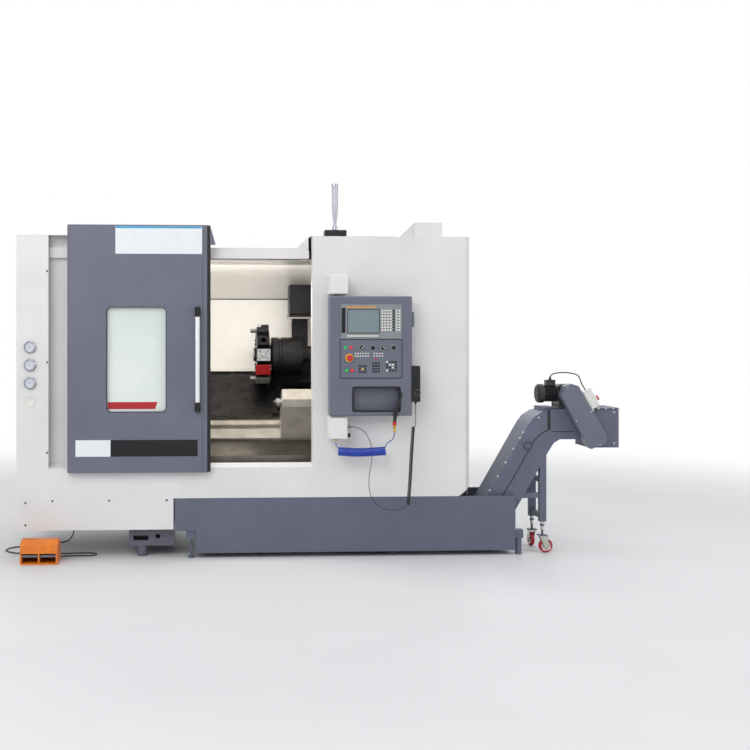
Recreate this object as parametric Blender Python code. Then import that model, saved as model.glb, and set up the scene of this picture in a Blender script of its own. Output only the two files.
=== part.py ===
"""Slant-bed CNC turning lathe with its chip conveyor and foot pedal.

Metres, +Z up. X runs along the spindle, Y from the operator's side to the back.
Every piece hangs on the empty machine_datum, which lies on the floor under the enclosure's
front left edge, so sizes below are distances from that edge, that front and the floor.
"""

import math

import bmesh
import bpy
from mathutils import Matrix, Vector

# Overall frame
DATUM = Vector((-2.0085, -0.7405, 0.0))
GAP = 0.0003
SHEET = 0.003

# Enclosure
ENCLOSURE_LENGTH = 2.990
ENCLOSURE_DEPTH = 1.250
ENCLOSURE_TOP = 2.115
SPLIT_HEIGHT = 0.394
LEFT_COVER_WIDTH = 0.207
RECESS_DEPTH = 0.084
APRON_TOP = 0.594
OPENING_LEFT = 1.055
HEADER_TOP = 2.043
HEADER_HEIGHT = 0.071
RIGHT_COVER_WIDTH = 0.417
SEAM_X = ENCLOSURE_LENGTH - RIGHT_COVER_WIDTH
PANEL_INSET = 0.541
JAMB_WIDTH = 0.097
OPENING_RIGHT = SEAM_X - PANEL_INSET - JAMB_WIDTH
EDGE_CHAMFER = 0.032
CORNER_CUT_WIDTH = 0.072
CORNER_CUT_HEIGHT = 0.059
SKIRT_BOTTOM = 0.190
SKIRT_RIGHT = 1.020
SKIRT_DEPTH = 0.900

# Coolant tank under the front
TANK_LEFT = 1.029
TANK_LENGTH = 2.266
TANK_DEPTH = 0.420
TANK_BOTTOM = 0.032
TANK_WALL = 0.005
TANK_NOTCH_LENGTH = 0.138
TANK_NOTCH_TOP = 0.178

# Spindle line and slanted bed
SPINDLE_TO_BACK = 0.800
SPINDLE_DEPTH = ENCLOSURE_DEPTH - SPINDLE_TO_BACK
SPINDLE_HEIGHT = 1.000
BED_ANGLE = math.radians(45)
BED_DROP = 0.290
BED_LEFT = 0.450
BED_TO_SIDE = 0.390
BED_RIGHT = ENCLOSURE_LENGTH - BED_TO_SIDE
BED_LOW = -0.130
BED_HIGH = 0.500
BED_TO_BACK = 0.150
BED_BACK = ENCLOSURE_DEPTH - BED_TO_BACK
BED_BOTTOM = 0.420
RAIL_WIDTH = 0.040
RAIL_HEIGHT = 0.030
CARRIAGE_RAILS = (0.130, 0.430)
TAILSTOCK_RAILS = (-0.095, 0.030)
PEDESTAL_BOTTOM = 0.070
FOOT_RADIUS = 0.031

PEDESTAL_LEFT = 0.726
PEDESTAL_RIGHT = 1.020
PEDESTAL_FRONT = 0.080
SHELF_HEIGHT = 0.040

# Chamber walls and chute
CHAMBER_LEFT = 0.982
CHAMBER_TO_SIDE = 0.370
CHAMBER_RIGHT = ENCLOSURE_LENGTH - CHAMBER_TO_SIDE
GUARD_TO_BACK = 0.130
GUARD_BACK = ENCLOSURE_DEPTH - GUARD_TO_BACK
GUARD_SHOULDER = 1.745
CHUTE_LEAD = 0.120
CHUTE_DROP = SPINDLE_DEPTH - CHUTE_LEAD
CHUTE_BEND = 0.634
CHUTE_PAN_LEFT = 1.360
CHUTE_PAN_LENGTH = 0.340
HEADER_INSET = 0.017
HEADER_RIGHT = OPENING_RIGHT - HEADER_INSET
RAIL_DEPTH = 0.030
DUCT_TO_SIDE = 0.365
DUCT_LEFT = ENCLOSURE_LENGTH - DUCT_TO_SIDE
DUCT_LENGTH = 0.184
DUCT_HEIGHT = 0.097
DUCT_SLOPE = 0.105
GAUGE_COUNT = 3
GAUGE_X = 0.089
GAUGE_TOP = 1.386
GAUGE_PITCH = 0.117
GAUGE_RADIUS = 0.038

# Spindle, headstock and chuck
HEADSTOCK_LEFT = 0.500
HEADSTOCK_RIGHT = 0.960
SPINDLE_RADIUS = 0.074
SPINDLE_BORE = 0.032
NOSE_RADIUS = 0.095
CYLINDER_LEFT = 0.120
PULLEY_LEFT = 0.300
PULLEY_WIDTH = 0.080
PULLEY_RADIUS = 0.120
CHUCK_FACE = 1.000
CHUCK_LENGTH = 0.100
CHUCK_RADIUS = 0.127
JAW_WIDTH = 0.036
JAW_LENGTH = 0.045
JAW_GRIP = 0.045
SLOT_DEPTH = 0.022
MOTOR_LEFT = 0.030
MOTOR_SIZE = 0.240
BELT_REACH = 0.370
MOTOR_DEPTH = SPINDLE_DEPTH + BELT_REACH

# Carriage, covers, turret and tailstock
SADDLE_LEFT = 1.712
SADDLE_LENGTH = 0.360
SADDLE_LOW = 0.085
SADDLE_HIGH = 0.500
SADDLE_TOP = 0.085
CROSS_RAIL_HEIGHT = 0.018
CROSS_LOW = 0.310
CROSS_HIGH = 0.600
CROSS_THICKNESS = 0.046
COVER_START = 0.984
COVER_SECTION = 0.250
COVER_LOW = 0.070
COVER_HIGH = 0.485
COVER_TOP = 0.058
COVER_STEP = SHEET + 0.0006
REAR_COVER_SHARE = 0.64
TURRET_SLOPE = 0.460
TURRET_RADIUS = 0.165
TURRET_LEFT = 1.600
TURRET_WIDTH = 0.095
TURRET_STATIONS = 12
BOSS_LENGTH = 0.0167
HOUSING_RADIUS = 0.125
HOUSING_LENGTH = 0.220
TOOL_REACH = 0.220
TAILSTOCK_LEFT = 1.766
TAILSTOCK_LENGTH = 0.209
QUILL_RADIUS = 0.035
QUILL_STICKOUT = 0.008
CENTER_LENGTH = 0.058

# Front door
DOOR_LEFT = 0.334
DOOR_WIDTH = 0.929
DOOR_BOTTOM = 0.569
DOOR_HEIGHT = 1.612
DOOR_THICKNESS = 0.045
DOOR_STANDOFF = 0.012
WINDOW_LEFT = 0.588
WINDOW_WIDTH = 0.387
WINDOW_BOTTOM = 0.963
WINDOW_HEIGHT = 0.684
WINDOW_CORNER = 0.030
HANDLE_INSET = 0.103
HANDLE_LEFT = DOOR_LEFT + DOOR_WIDTH - HANDLE_INSET
HANDLE_WIDTH = 0.036
HANDLE_REACH = 0.055

# Electrical cabinet
CABINET_LEFT = 1.650
CABINET_WIDTH = 1.000
CABINET_DEPTH = 0.360
CABINET_BOTTOM = 0.450
CABINET_HEIGHT = 1.450

# Control panel on its swing arm
PANEL_LEFT = SEAM_X - PANEL_INSET
PANEL_WIDTH = 0.538
PANEL_BOTTOM = 0.940
PANEL_HEIGHT = 0.777
PANEL_FRONT = -0.150
PANEL_DEPTH = 0.110
PIVOT_INSET = 0.050
PIVOT_STANDOFF = 0.085
UNIT_INSET = 0.070
UNIT_WIDTH = 0.400
UNIT_HEIGHT = 0.225
UNIT_BOTTOM = 1.440
ARM_BOX_WIDTH = 0.122
PIN_RADIUS = 0.012
HOSE_INSET = 0.044
HOSE_X = PANEL_LEFT + HOSE_INSET
CORD_Y = -0.112
CABLE_EXIT_Z = 0.866
GUN_INSET = 0.420
GUN_X = PANEL_LEFT + GUN_INSET
GUN_BOTTOM = 0.865

KEY_RECESS = 0.002
STOP_STEM_RADIUS = 0.012
STEM_LENGTH = 0.008
BORE_DEPTH = 0.014
KNOB_RADIUS = 0.014
BUTTON_RADIUS = 0.011
STOP_RADIUS = 0.021
CONTROL_ROW = 1.382
LAMP_INSET = 0.060
LAMP_X = PANEL_LEFT + LAMP_INSET
LAMP_DEPTH = 0.060
LAMP_BASE_WIDTH = 0.146
LAMP_BASE_HEIGHT = 0.043
LAMP_RADIUS = 0.023
LAMP_HEIGHT = 0.312

# Chip conveyor
CONVEYOR_FRONT = 0.050
CONVEYOR_WIDTH = 0.270
CONVEYOR_CLEARANCE = 0.004
CONVEYOR_HEIGHT = 0.211
CONVEYOR_ANGLE = math.radians(60)
CONVEYOR_FOOT_X = 3.126
CONVEYOR_TAIL = 1.300
CONVEYOR_WALL = 0.004
CONVEYOR_RUN_HEIGHT = 0.160
CONVEYOR_NECK_BOTTOM = 0.763
GUARD_LENGTH = 0.340
GUARD_RADIUS = 0.072
GUARD_THICKNESS = 0.070
HEAD_RIGHT = 4.017
HEAD_BOTTOM = 0.706
HEAD_TOP = 0.968
HEAD_LENGTH = 0.163
LEG_X = 3.499
LEG_WIDTH = 0.044
WHEEL_RADIUS = 0.047
WHEEL_WIDTH = 0.028
CASTER_TRAIL = 0.022
AXLE_RADIUS = 0.006
LEG_BOTTOM = 0.210
PLATE_HEIGHT = 0.115

# Foot pedal
PEDAL_LEFT = 0.050
PEDAL_WIDTH = 0.236
PEDAL_FRONT = -0.158
PEDAL_DEPTH = 0.178
PEDAL_HEIGHT = 0.149
PEDAL_WALL = 0.010
TREAD_HEIGHT = 0.036

# Cords
PEDAL_CABLE_RADIUS = 0.0045
HOSE_RADIUS = 0.00325
HOSE_COIL_RADIUS = 0.030
WHEEL_CORD_RADIUS = 0.0023
CURL_RADIUS = 0.012

SEGMENTS = 24


def clear_scene():
    """Empty the file without closing it."""
    for thing in list(bpy.data.objects):
        bpy.data.objects.remove(thing, do_unlink=True)


def srgb(code):
    """Linear colour from an sRGB hex code."""
    parts = [int(code[i:i + 2], 16) / 255 for i in (0, 2, 4)]
    return [c / 12.92 if c <= 0.04045 else ((c + 0.055) / 1.055) ** 2.4 for c in parts] + [1.0]


FINISHES = {
    "white_paint": ("dfdddc", 0.40, 0.0),
    "grey_paint": ("5f6375", 0.42, 0.0),
    "cast_paint": ("6d6a78", 0.55, 0.0),
    "black_paint": ("26262b", 0.45, 0.0),
    "stainless": ("b4b1ab", 0.32, 1.0),
    "dark_steel": ("4a4744", 0.35, 1.0),
    "bright_steel": ("c9c9cb", 0.20, 1.0),
    "black_plastic": ("1b1b1e", 0.50, 0.0),
    "pale_plastic": ("e6e6e2", 0.45, 0.0),
    "red_plastic": ("b81418", 0.35, 0.0),
    "green_plastic": ("2f9a4c", 0.35, 0.0),
    "blue_hose": ("1f45b8", 0.30, 0.0),
    "black_rubber": ("16161a", 0.70, 0.0),
    "orange_paint": ("ff8c00", 0.45, 0.0),
    "red_wheel": ("a8102a", 0.50, 0.0),
    "lamp_acrylic": ("dfe3ea", 0.25, 0.0),
    "window_glass": ("cfe0d2", 0.08, 0.0),
}


CONTROL_FINISHES = {
    "e_stop_button": "red_plastic",
    "mode_knob": "black_plastic",
    "feed_override_knob": "black_plastic",
    "cycle_start_button": "green_plastic",
    "feed_hold_button": "red_plastic",
}


def material(finish):
    """One Principled material for each finish, made when it is first asked for."""
    known = bpy.data.materials.get(finish)
    if known:
        return known
    code, roughness, metallic = FINISHES[finish]
    made = bpy.data.materials.new(finish)
    made.use_nodes = True
    shader = made.node_tree.nodes["Principled BSDF"]
    shader.inputs["Base Color"].default_value = srgb(code)
    shader.inputs["Roughness"].default_value = roughness
    shader.inputs["Metallic"].default_value = metallic
    return made


def make_datum():
    """The empty that places the machine in the world."""
    datum = bpy.data.objects.new("machine_datum", None)
    datum.location = DATUM
    bpy.context.scene.collection.objects.link(datum)
    return datum


def place(name, mesh, origin, finish):
    """Hang a mesh, drawn in machine sizes, on the datum with its own origin."""
    origin = Vector(origin)
    mesh.transform(Matrix.Translation(-origin))
    body = bpy.data.objects.new(name, mesh)
    body.location = origin
    body.parent = bpy.data.objects["machine_datum"]
    bpy.context.scene.collection.objects.link(body)
    if finish:
        mesh.materials.append(material(finish))
    return body


def finish_mesh(shape, name, smooth):
    """Turn a bmesh into a mesh with its faces out, round parts shaded smooth."""
    bmesh.ops.recalc_face_normals(shape, faces=shape.faces)
    mesh = bpy.data.meshes.new(name)
    shape.to_mesh(mesh)
    shape.free()
    if smooth:
        mesh.shade_smooth()
        mesh.set_sharp_from_angle(angle=math.radians(35))
    return mesh


def block(name, x, y, z, finish=None, origin=(0, 0, 0), round_edges=0.0):
    """A box between two values along each axis, its edges chamfered if asked."""
    shape = bmesh.new()
    bmesh.ops.create_cube(shape, size=1.0)
    scale = Matrix.Diagonal((x[1] - x[0], y[1] - y[0], z[1] - z[0], 1.0))
    middle = Vector(((x[0] + x[1]) / 2, (y[0] + y[1]) / 2, (z[0] + z[1]) / 2))
    bmesh.ops.transform(shape, matrix=Matrix.Translation(middle) @ scale, verts=shape.verts)
    if round_edges:
        bmesh.ops.bevel(shape, geom=shape.edges[:], offset=round_edges, segments=1, affect="EDGES")
    return place(name, finish_mesh(shape, name, False), origin, finish)


AXIS_FRAMES = {
    "X": Matrix(((0, 0, 1), (1, 0, 0), (0, 1, 0))).to_4x4(),
    "Y": Matrix(((1, 0, 0), (0, 0, 1), (0, 1, 0))).to_4x4(),
    "Z": Matrix.Identity(4),
}


def prism(name, axis, outline, span, finish=None, origin=(0, 0, 0), smooth=False):
    """An outline in the plane across an axis, drawn out along that axis.

    The outline's two values are (y, z) across X, (x, z) across Y and (x, y) across Z.
    """
    shape = bmesh.new()
    base = [shape.verts.new((u, v, span[0])) for u, v in outline]
    face = shape.faces.new(base)
    grown = bmesh.ops.extrude_face_region(shape, geom=[face])
    top = [g for g in grown["geom"] if isinstance(g, bmesh.types.BMVert)]
    bmesh.ops.translate(shape, verts=top, vec=(0, 0, span[1] - span[0]))
    bmesh.ops.transform(shape, matrix=AXIS_FRAMES[axis], verts=shape.verts)
    return place(name, finish_mesh(shape, name, smooth), origin, finish)


def turned(name, centre, direction, profile, finish=None, origin=None, segments=SEGMENTS):
    """A turned piece: profile points are (distance along the axis, radius).

    A profile that starts and ends at radius zero makes a solid; any other is closed
    on itself and makes a ring.
    """
    shape = bmesh.new()
    solid = profile[0][1] == 0 and profile[-1][1] == 0
    rings = []
    for along, radius in profile:
        if radius == 0:
            rings.append([shape.verts.new((0, 0, along))])
            continue
        angles = [2 * math.pi * k / segments for k in range(segments)]
        rings.append([shape.verts.new((radius * math.cos(a), radius * math.sin(a), along)) for a in angles])
    pairs = list(zip(rings, rings[1:]))
    if not solid:
        pairs.append((rings[-1], rings[0]))
    for low, high in pairs:
        for k in range(segments):
            j = (k + 1) % segments
            corners = [low[k % len(low)], low[j % len(low)], high[j % len(high)], high[k % len(high)]]
            loop = [c for i, c in enumerate(corners) if c not in corners[:i]]
            if len(loop) > 2:
                shape.faces.new(loop)
    turn = Vector(direction).to_track_quat("Z", "Y").to_matrix().to_4x4()
    bmesh.ops.transform(shape, matrix=Matrix.Translation(Vector(centre)) @ turn, verts=shape.verts)
    return place(name, finish_mesh(shape, name, True), centre if origin is None else origin, finish)


def rod(name, start, end, radius, finish=None, origin=None, segments=SEGMENTS):
    """A plain round bar between two points."""
    start = Vector(start)
    along = Vector(end) - start
    profile = [(0, 0), (0, radius), (along.length, radius), (along.length, 0)]
    return turned(name, start, along, profile, finish, origin, segments)


def combine(target, operation, tools):
    """Join tools to a piece or cut them out of it, and keep them hidden."""
    for tool in tools:
        tool.hide_render = True
        tool.display_type = "WIRE"
        step = target.modifiers.new(operation.lower(), "BOOLEAN")
        step.operation = operation
        step.object = tool
    return target


def unite(target, *tools):
    """Weld further shapes to a piece."""
    return combine(target, "UNION", tools)


def carve(target, *tools):
    """Cut shapes out of a piece."""
    return combine(target, "DIFFERENCE", tools)


def bed_point(x, s, n):
    """A point by its place along the spindle, up the slanted bed and out of its face."""
    up = Vector((0, math.cos(BED_ANGLE), math.sin(BED_ANGLE)))
    out = Vector((0, -math.sin(BED_ANGLE), math.cos(BED_ANGLE)))
    axis = Vector((x, SPINDLE_DEPTH, SPINDLE_HEIGHT))
    return axis + up * s + out * (n - BED_DROP)


def bed_prism(name, x, outline, finish=None, origin=(0, 0, 0)):
    """An outline in the bed's slanted frame, (up the slope, out of the face), drawn along X."""
    flat = [bed_point(0, s, n) for s, n in outline]
    return prism(name, "X", [(p.y, p.z) for p in flat], x, finish, origin)


def bed_block(name, x, s, n, finish=None, origin=(0, 0, 0)):
    """A box set square to the slanted bed."""
    return bed_prism(name, x, [(s[0], n[0]), (s[1], n[0]), (s[1], n[1]), (s[0], n[1])], finish, origin)


def make_coolant_tank():
    """The dark trough under the machine's front, open above for the chips."""
    right = TANK_LEFT + TANK_LENGTH
    notch = TANK_LEFT + TANK_NOTCH_LENGTH
    outline = [
        (TANK_LEFT, SPLIT_HEIGHT - GAP), (TANK_LEFT, TANK_NOTCH_TOP), (notch, TANK_NOTCH_TOP),
        (notch, TANK_BOTTOM), (right, TANK_BOTTOM), (right, SPLIT_HEIGHT - GAP),
    ]
    tank = prism("coolant_tank", "Y", outline, (0, TANK_DEPTH), "grey_paint")
    inner = [
        (TANK_LEFT + TANK_WALL, SPLIT_HEIGHT + TANK_WALL),
        (TANK_LEFT + TANK_WALL, TANK_NOTCH_TOP + TANK_WALL),
        (notch + TANK_WALL, TANK_NOTCH_TOP + TANK_WALL), (notch + TANK_WALL, TANK_BOTTOM + TANK_WALL),
        (right - TANK_WALL, TANK_BOTTOM + TANK_WALL), (right - TANK_WALL, SPLIT_HEIGHT + TANK_WALL),
    ]
    hollow = prism("tank_hollow", "Y", inner, (TANK_WALL, TANK_DEPTH - TANK_WALL))
    side = CONVEYOR_FRONT - CONVEYOR_CLEARANCE
    far = CONVEYOR_FRONT + CONVEYOR_WIDTH + CONVEYOR_CLEARANCE
    exit_floor = conveyor_under(right - 2 * TANK_WALL) - 4 * CONVEYOR_CLEARANCE
    mouth = block("tank_mouth", (right - 2 * TANK_WALL, right + TANK_WALL), (side, far),
                  (exit_floor, SPLIT_HEIGHT + TANK_WALL))
    carve(tank, hollow, mouth)
    middle = TANK_DEPTH / 2
    foot_x = notch - 0.030
    plate = block("tank_left_lug", (foot_x - 0.034, notch + 0.002), (0.010, 0.050),
                  (TANK_NOTCH_TOP - 0.052, TANK_NOTCH_TOP + 0.002))
    stem = rod("tank_left_stem", (foot_x, 0.030, 0.006), (foot_x, 0.030, TANK_NOTCH_TOP - 0.04), 0.008, segments=12)
    pad = rod("tank_left_pad", (foot_x, 0.030, 0), (foot_x, 0.030, 0.014), 0.022, segments=16)
    right_x = right + 0.028
    ear = block("tank_right_lug", (right - 0.002, right + 0.055), (0.007, 0.059), (0.110, 0.165))
    post = rod("tank_right_foot", (right_x, 0.033, 0), (right_x, 0.033, 0.114), 0.022, segments=16)
    rear_left = rod("tank_rear_left_foot", (notch + 0.10, TANK_DEPTH - 0.06, 0),
                    (notch + 0.10, TANK_DEPTH - 0.06, TANK_BOTTOM + 0.003), 0.024, segments=16)
    rear_right = rod("tank_rear_right_foot", (right - 0.10, TANK_DEPTH - 0.06, 0),
                     (right - 0.10, TANK_DEPTH - 0.06, TANK_BOTTOM + 0.003), 0.024, segments=16)
    centre = rod("tank_centre_foot", ((notch + right) / 2, middle, 0),
                 ((notch + right) / 2, middle, TANK_BOTTOM + 0.003), 0.024, segments=16)
    return unite(tank, plate, stem, pad, ear, post, rear_left, rear_right, centre)


def make_bed_casting():
    """The slanted cast bed with its ways, standing on two cored pedestals."""
    low = bed_point(0, BED_LOW, 0)
    high = bed_point(0, BED_HIGH, 0)
    nose = low.y - 0.060
    outline = [
        (nose, BED_BOTTOM), (BED_BACK, BED_BOTTOM), (BED_BACK, high.z), (high.y, high.z),
        (low.y, low.z), (nose, low.z - 0.060),
    ]
    bed = prism("bed_casting", "X", outline, (BED_LEFT, BED_RIGHT), "cast_paint")
    rails = [
        bed_block("way_rail", (CHAMBER_LEFT, BED_RIGHT), (s - RAIL_WIDTH / 2, s + RAIL_WIDTH / 2),
                  (-0.005, RAIL_HEIGHT))
        for s in CARRIAGE_RAILS + TAILSTOCK_RAILS
    ]
    left = block("left_pedestal", (PEDESTAL_LEFT, PEDESTAL_RIGHT), (PEDESTAL_FRONT, BED_BACK),
                 (PEDESTAL_BOTTOM, SPLIT_HEIGHT - 0.014))
    left_neck = block("left_neck", (PEDESTAL_LEFT, PEDESTAL_RIGHT), (nose, BED_BACK),
                      (SPLIT_HEIGHT - 0.020, BED_BOTTOM + 0.010))
    right = block("right_pedestal", (BED_RIGHT - 0.35, BED_RIGHT), (TANK_DEPTH + 0.030, BED_BACK),
                  (PEDESTAL_BOTTOM, BED_BOTTOM + 0.010))
    feet = [
        rod("bed_foot", (x, y, 0), (x, y, PEDESTAL_BOTTOM + 0.005), FOOT_RADIUS)
        for x, y in (
            (PEDESTAL_LEFT + 0.085, PEDESTAL_FRONT + FOOT_RADIUS),
            (PEDESTAL_LEFT + 0.085, BED_BACK - 0.08),
            (BED_RIGHT - 0.10, TANK_DEPTH + 0.08),
            (BED_RIGHT - 0.10, BED_BACK - 0.08),
        )
    ]
    shelf = block("motor_shelf", (MOTOR_LEFT - 0.010, BED_LEFT + 0.010),
                  (MOTOR_DEPTH - MOTOR_SIZE * 0.6, MOTOR_DEPTH + MOTOR_SIZE * 0.6),
                  (BED_BOTTOM, BED_BOTTOM + SHELF_HEIGHT))
    unite(bed, *rails, left, left_neck, right, shelf, *feet)
    middle = (PEDESTAL_LEFT + PEDESTAL_RIGHT) / 2
    slot = block("core_slot", (PEDESTAL_LEFT + 0.027, middle - 0.020), (PEDESTAL_FRONT - 0.01, PEDESTAL_FRONT + 0.12),
                 (PEDESTAL_BOTTOM + 0.035, PEDESTAL_BOTTOM + 0.068))
    eye = rod("core_eye", (middle + 0.042, PEDESTAL_FRONT - 0.01, PEDESTAL_BOTTOM + 0.062),
              (middle + 0.042, PEDESTAL_FRONT + 0.12, PEDESTAL_BOTTOM + 0.062), 0.016, segments=16)
    return carve(bed, slot, eye)


def make_front_cover():
    """Left front cover, apron and right front panel, folded round the door opening."""
    outline = [
        (0, SPLIT_HEIGHT), (SEAM_X - GAP, SPLIT_HEIGHT), (SEAM_X - GAP, ENCLOSURE_TOP),
        (OPENING_RIGHT, ENCLOSURE_TOP), (OPENING_RIGHT, APRON_TOP), (LEFT_COVER_WIDTH, APRON_TOP),
        (LEFT_COVER_WIDTH, ENCLOSURE_TOP), (0, ENCLOSURE_TOP),
    ]
    cover = prism("front_cover", "Y", outline, (0, SHEET), "white_paint")
    side = block("left_side", (0, SHEET), (0, ENCLOSURE_DEPTH), (SPLIT_HEIGHT, ENCLOSURE_TOP))
    jamb = block("left_jamb", (LEFT_COVER_WIDTH - SHEET, LEFT_COVER_WIDTH), (0, RECESS_DEPTH),
                 (APRON_TOP - SHEET, ENCLOSURE_TOP))
    right_jamb = block("right_jamb", (OPENING_RIGHT, OPENING_RIGHT + SHEET), (0, RECESS_DEPTH),
                       (APRON_TOP - SHEET, ENCLOSURE_TOP))
    ledge = prism("sill_ledge", "X", [
        (0, APRON_TOP - SHEET), (0, APRON_TOP), (RECESS_DEPTH, APRON_TOP + 0.022), (RECESS_DEPTH, APRON_TOP + 0.019),
    ], (LEFT_COVER_WIDTH - SHEET, OPENING_RIGHT + SHEET))
    plate, hole = make_pivot_plate()
    unite(cover, side, jamb, right_jamb, ledge, plate, *make_gauges())
    return carve(cover, hole)


def make_gauges():
    """Three pressure gauges and a blanking plug, bezels standing off the left cover."""
    shapes = []
    for k in range(GAUGE_COUNT):
        height = GAUGE_TOP - k * GAUGE_PITCH
        shapes.append(turned("gauge", (GAUGE_X, SHEET / 2, height), (0, -1, 0), [
            (0, 0), (0, GAUGE_RADIUS), (0.014, GAUGE_RADIUS), (0.018, GAUGE_RADIUS - 0.004),
            (0.018, GAUGE_RADIUS - 0.008), (0.013, GAUGE_RADIUS - 0.009), (0.013, 0),
        ], segments=18))
    plug = GAUGE_TOP - GAUGE_COUNT * GAUGE_PITCH
    shapes.append(rod("gauge_plug", (GAUGE_X, SHEET / 2, plug), (GAUGE_X, -0.002, plug), GAUGE_RADIUS * 0.9,
                      segments=18))
    return shapes


def make_right_cover():
    """Right front panel past the seam and the right side, one folded sheet."""
    flat = ENCLOSURE_LENGTH - EDGE_CHAMFER
    inset = SHEET * math.tan(math.radians(22.5))
    outline = [
        (SEAM_X, 0), (flat, 0), (ENCLOSURE_LENGTH, EDGE_CHAMFER), (ENCLOSURE_LENGTH, ENCLOSURE_DEPTH),
        (ENCLOSURE_LENGTH - SHEET, ENCLOSURE_DEPTH), (ENCLOSURE_LENGTH - SHEET, EDGE_CHAMFER + inset),
        (flat - inset, SHEET), (SEAM_X, SHEET),
    ]
    cover = prism("right_cover", "Z", outline, (SPLIT_HEIGHT, ENCLOSURE_TOP), "white_paint")
    left = ENCLOSURE_LENGTH - CORNER_CUT_WIDTH - 0.017
    corner = prism("corner_cut", "Y", [
        (left, SPLIT_HEIGHT - 0.01), (ENCLOSURE_LENGTH + 0.01, SPLIT_HEIGHT - 0.01),
        (ENCLOSURE_LENGTH + 0.01, SPLIT_HEIGHT + CORNER_CUT_HEIGHT + 0.01),
    ], (-0.01, EDGE_CHAMFER + 0.05))
    door = block("service_seam", (ENCLOSURE_LENGTH - 0.001, ENCLOSURE_LENGTH + 0.01),
                 (0.25, 0.254), (SPLIT_HEIGHT + 0.08, ENCLOSURE_TOP - 0.08))
    return carve(cover, corner, door)


def make_lower_skirt():
    """The short white cover that hangs under the left half."""
    bend = SHEET
    outline = [
        (bend, 0), (SKIRT_RIGHT, 0), (SKIRT_RIGHT, SHEET), (bend + SHEET, SHEET),
        (bend + SHEET, SKIRT_DEPTH), (bend, SKIRT_DEPTH),
    ]
    return prism("lower_skirt", "Z", outline, (SKIRT_BOTTOM, SPLIT_HEIGHT - GAP), "white_paint")


def make_roof_cover():
    """The roof: high over both sides, low over the door opening, with a duct box on the right."""
    under = ENCLOSURE_TOP + GAP
    over = under + SHEET
    low = HEADER_TOP - 0.025
    step_left = OPENING_LEFT
    step_right = HEADER_RIGHT - SHEET
    outline = [
        (0, under), (step_left - SHEET, under), (step_left - SHEET, low - SHEET),
        (step_right + SHEET, low - SHEET), (step_right + SHEET, under), (ENCLOSURE_LENGTH, under),
        (ENCLOSURE_LENGTH, over), (step_right, over), (step_right, low), (step_left, low),
        (step_left, over), (0, over),
    ]
    front = RECESS_DEPTH + SHEET + GAP
    roof = prism("roof_cover", "Y", outline, (0, ENCLOSURE_DEPTH), "white_paint")
    open_front = block("roof_front_gap", (step_left - 2 * SHEET, step_right + 2 * SHEET), (-0.01, front),
                       (low - 0.02, over + 0.02))
    corner = prism("roof_corner", "Z", [
        (ENCLOSURE_LENGTH - EDGE_CHAMFER, -0.001), (ENCLOSURE_LENGTH + 0.02, -0.001),
        (ENCLOSURE_LENGTH + 0.02, EDGE_CHAMFER + 0.02), (ENCLOSURE_LENGTH + 0.0005, EDGE_CHAMFER + 0.0005),
    ], (under - 0.02, over + 0.02))
    carve(roof, open_front, corner)
    flange = block("roof_flange", (step_left - SHEET / 2, HEADER_RIGHT - SHEET / 2), (front, front + SHEET),
                   (HEADER_TOP - HEADER_HEIGHT, low - SHEET / 2))
    duct = block("roof_duct", (DUCT_LEFT, DUCT_LEFT + DUCT_LENGTH), (0.030, 0.380),
                 (over - SHEET / 2, over + DUCT_HEIGHT))
    hood = prism("roof_duct_hood", "Y", [
        (DUCT_LEFT - DUCT_SLOPE, over - SHEET / 2), (DUCT_LEFT + 0.01, over - SHEET / 2),
        (DUCT_LEFT + 0.01, over + DUCT_HEIGHT - 0.002), (DUCT_LEFT - 0.004, over + DUCT_HEIGHT - 0.002),
    ], (0.090, 0.330))
    return unite(roof, flange, duct, hood)


def make_rear_cover():
    """The flat back sheet with its flange at the foot."""
    back = ENCLOSURE_DEPTH + GAP
    sheet = block("rear_cover", (0, ENCLOSURE_LENGTH), (back, back + SHEET),
                  (SPLIT_HEIGHT, ENCLOSURE_TOP + GAP + SHEET), "white_paint")
    louvres = [
        block("rear_louvre", (0.30, 0.75), (back + SHEET / 2, back + SHEET + 0.012), (z, z + 0.012))
        for z in [0.70 + 0.04 * k for k in range(6)]
    ]
    return unite(sheet, *louvres)


def thin_sheet(points, thickness):
    """The outline of a folded sheet: a line of points and its offset by the sheet's thickness."""
    flat = [Vector(p) for p in points]
    inner = []
    for k, point in enumerate(flat):
        before = (point - flat[k - 1]).normalized() if k else (flat[1] - point).normalized()
        after = (flat[k + 1] - point).normalized() if k + 1 < len(flat) else before
        left_a = Vector((-before.y, before.x))
        left_b = Vector((-after.y, after.x))
        mitre = (left_a + left_b).normalized()
        inner.append(point + mitre * (thickness / mitre.dot(left_a)))
    return [tuple(p) for p in flat] + [tuple(p) for p in reversed(inner)]


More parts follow.
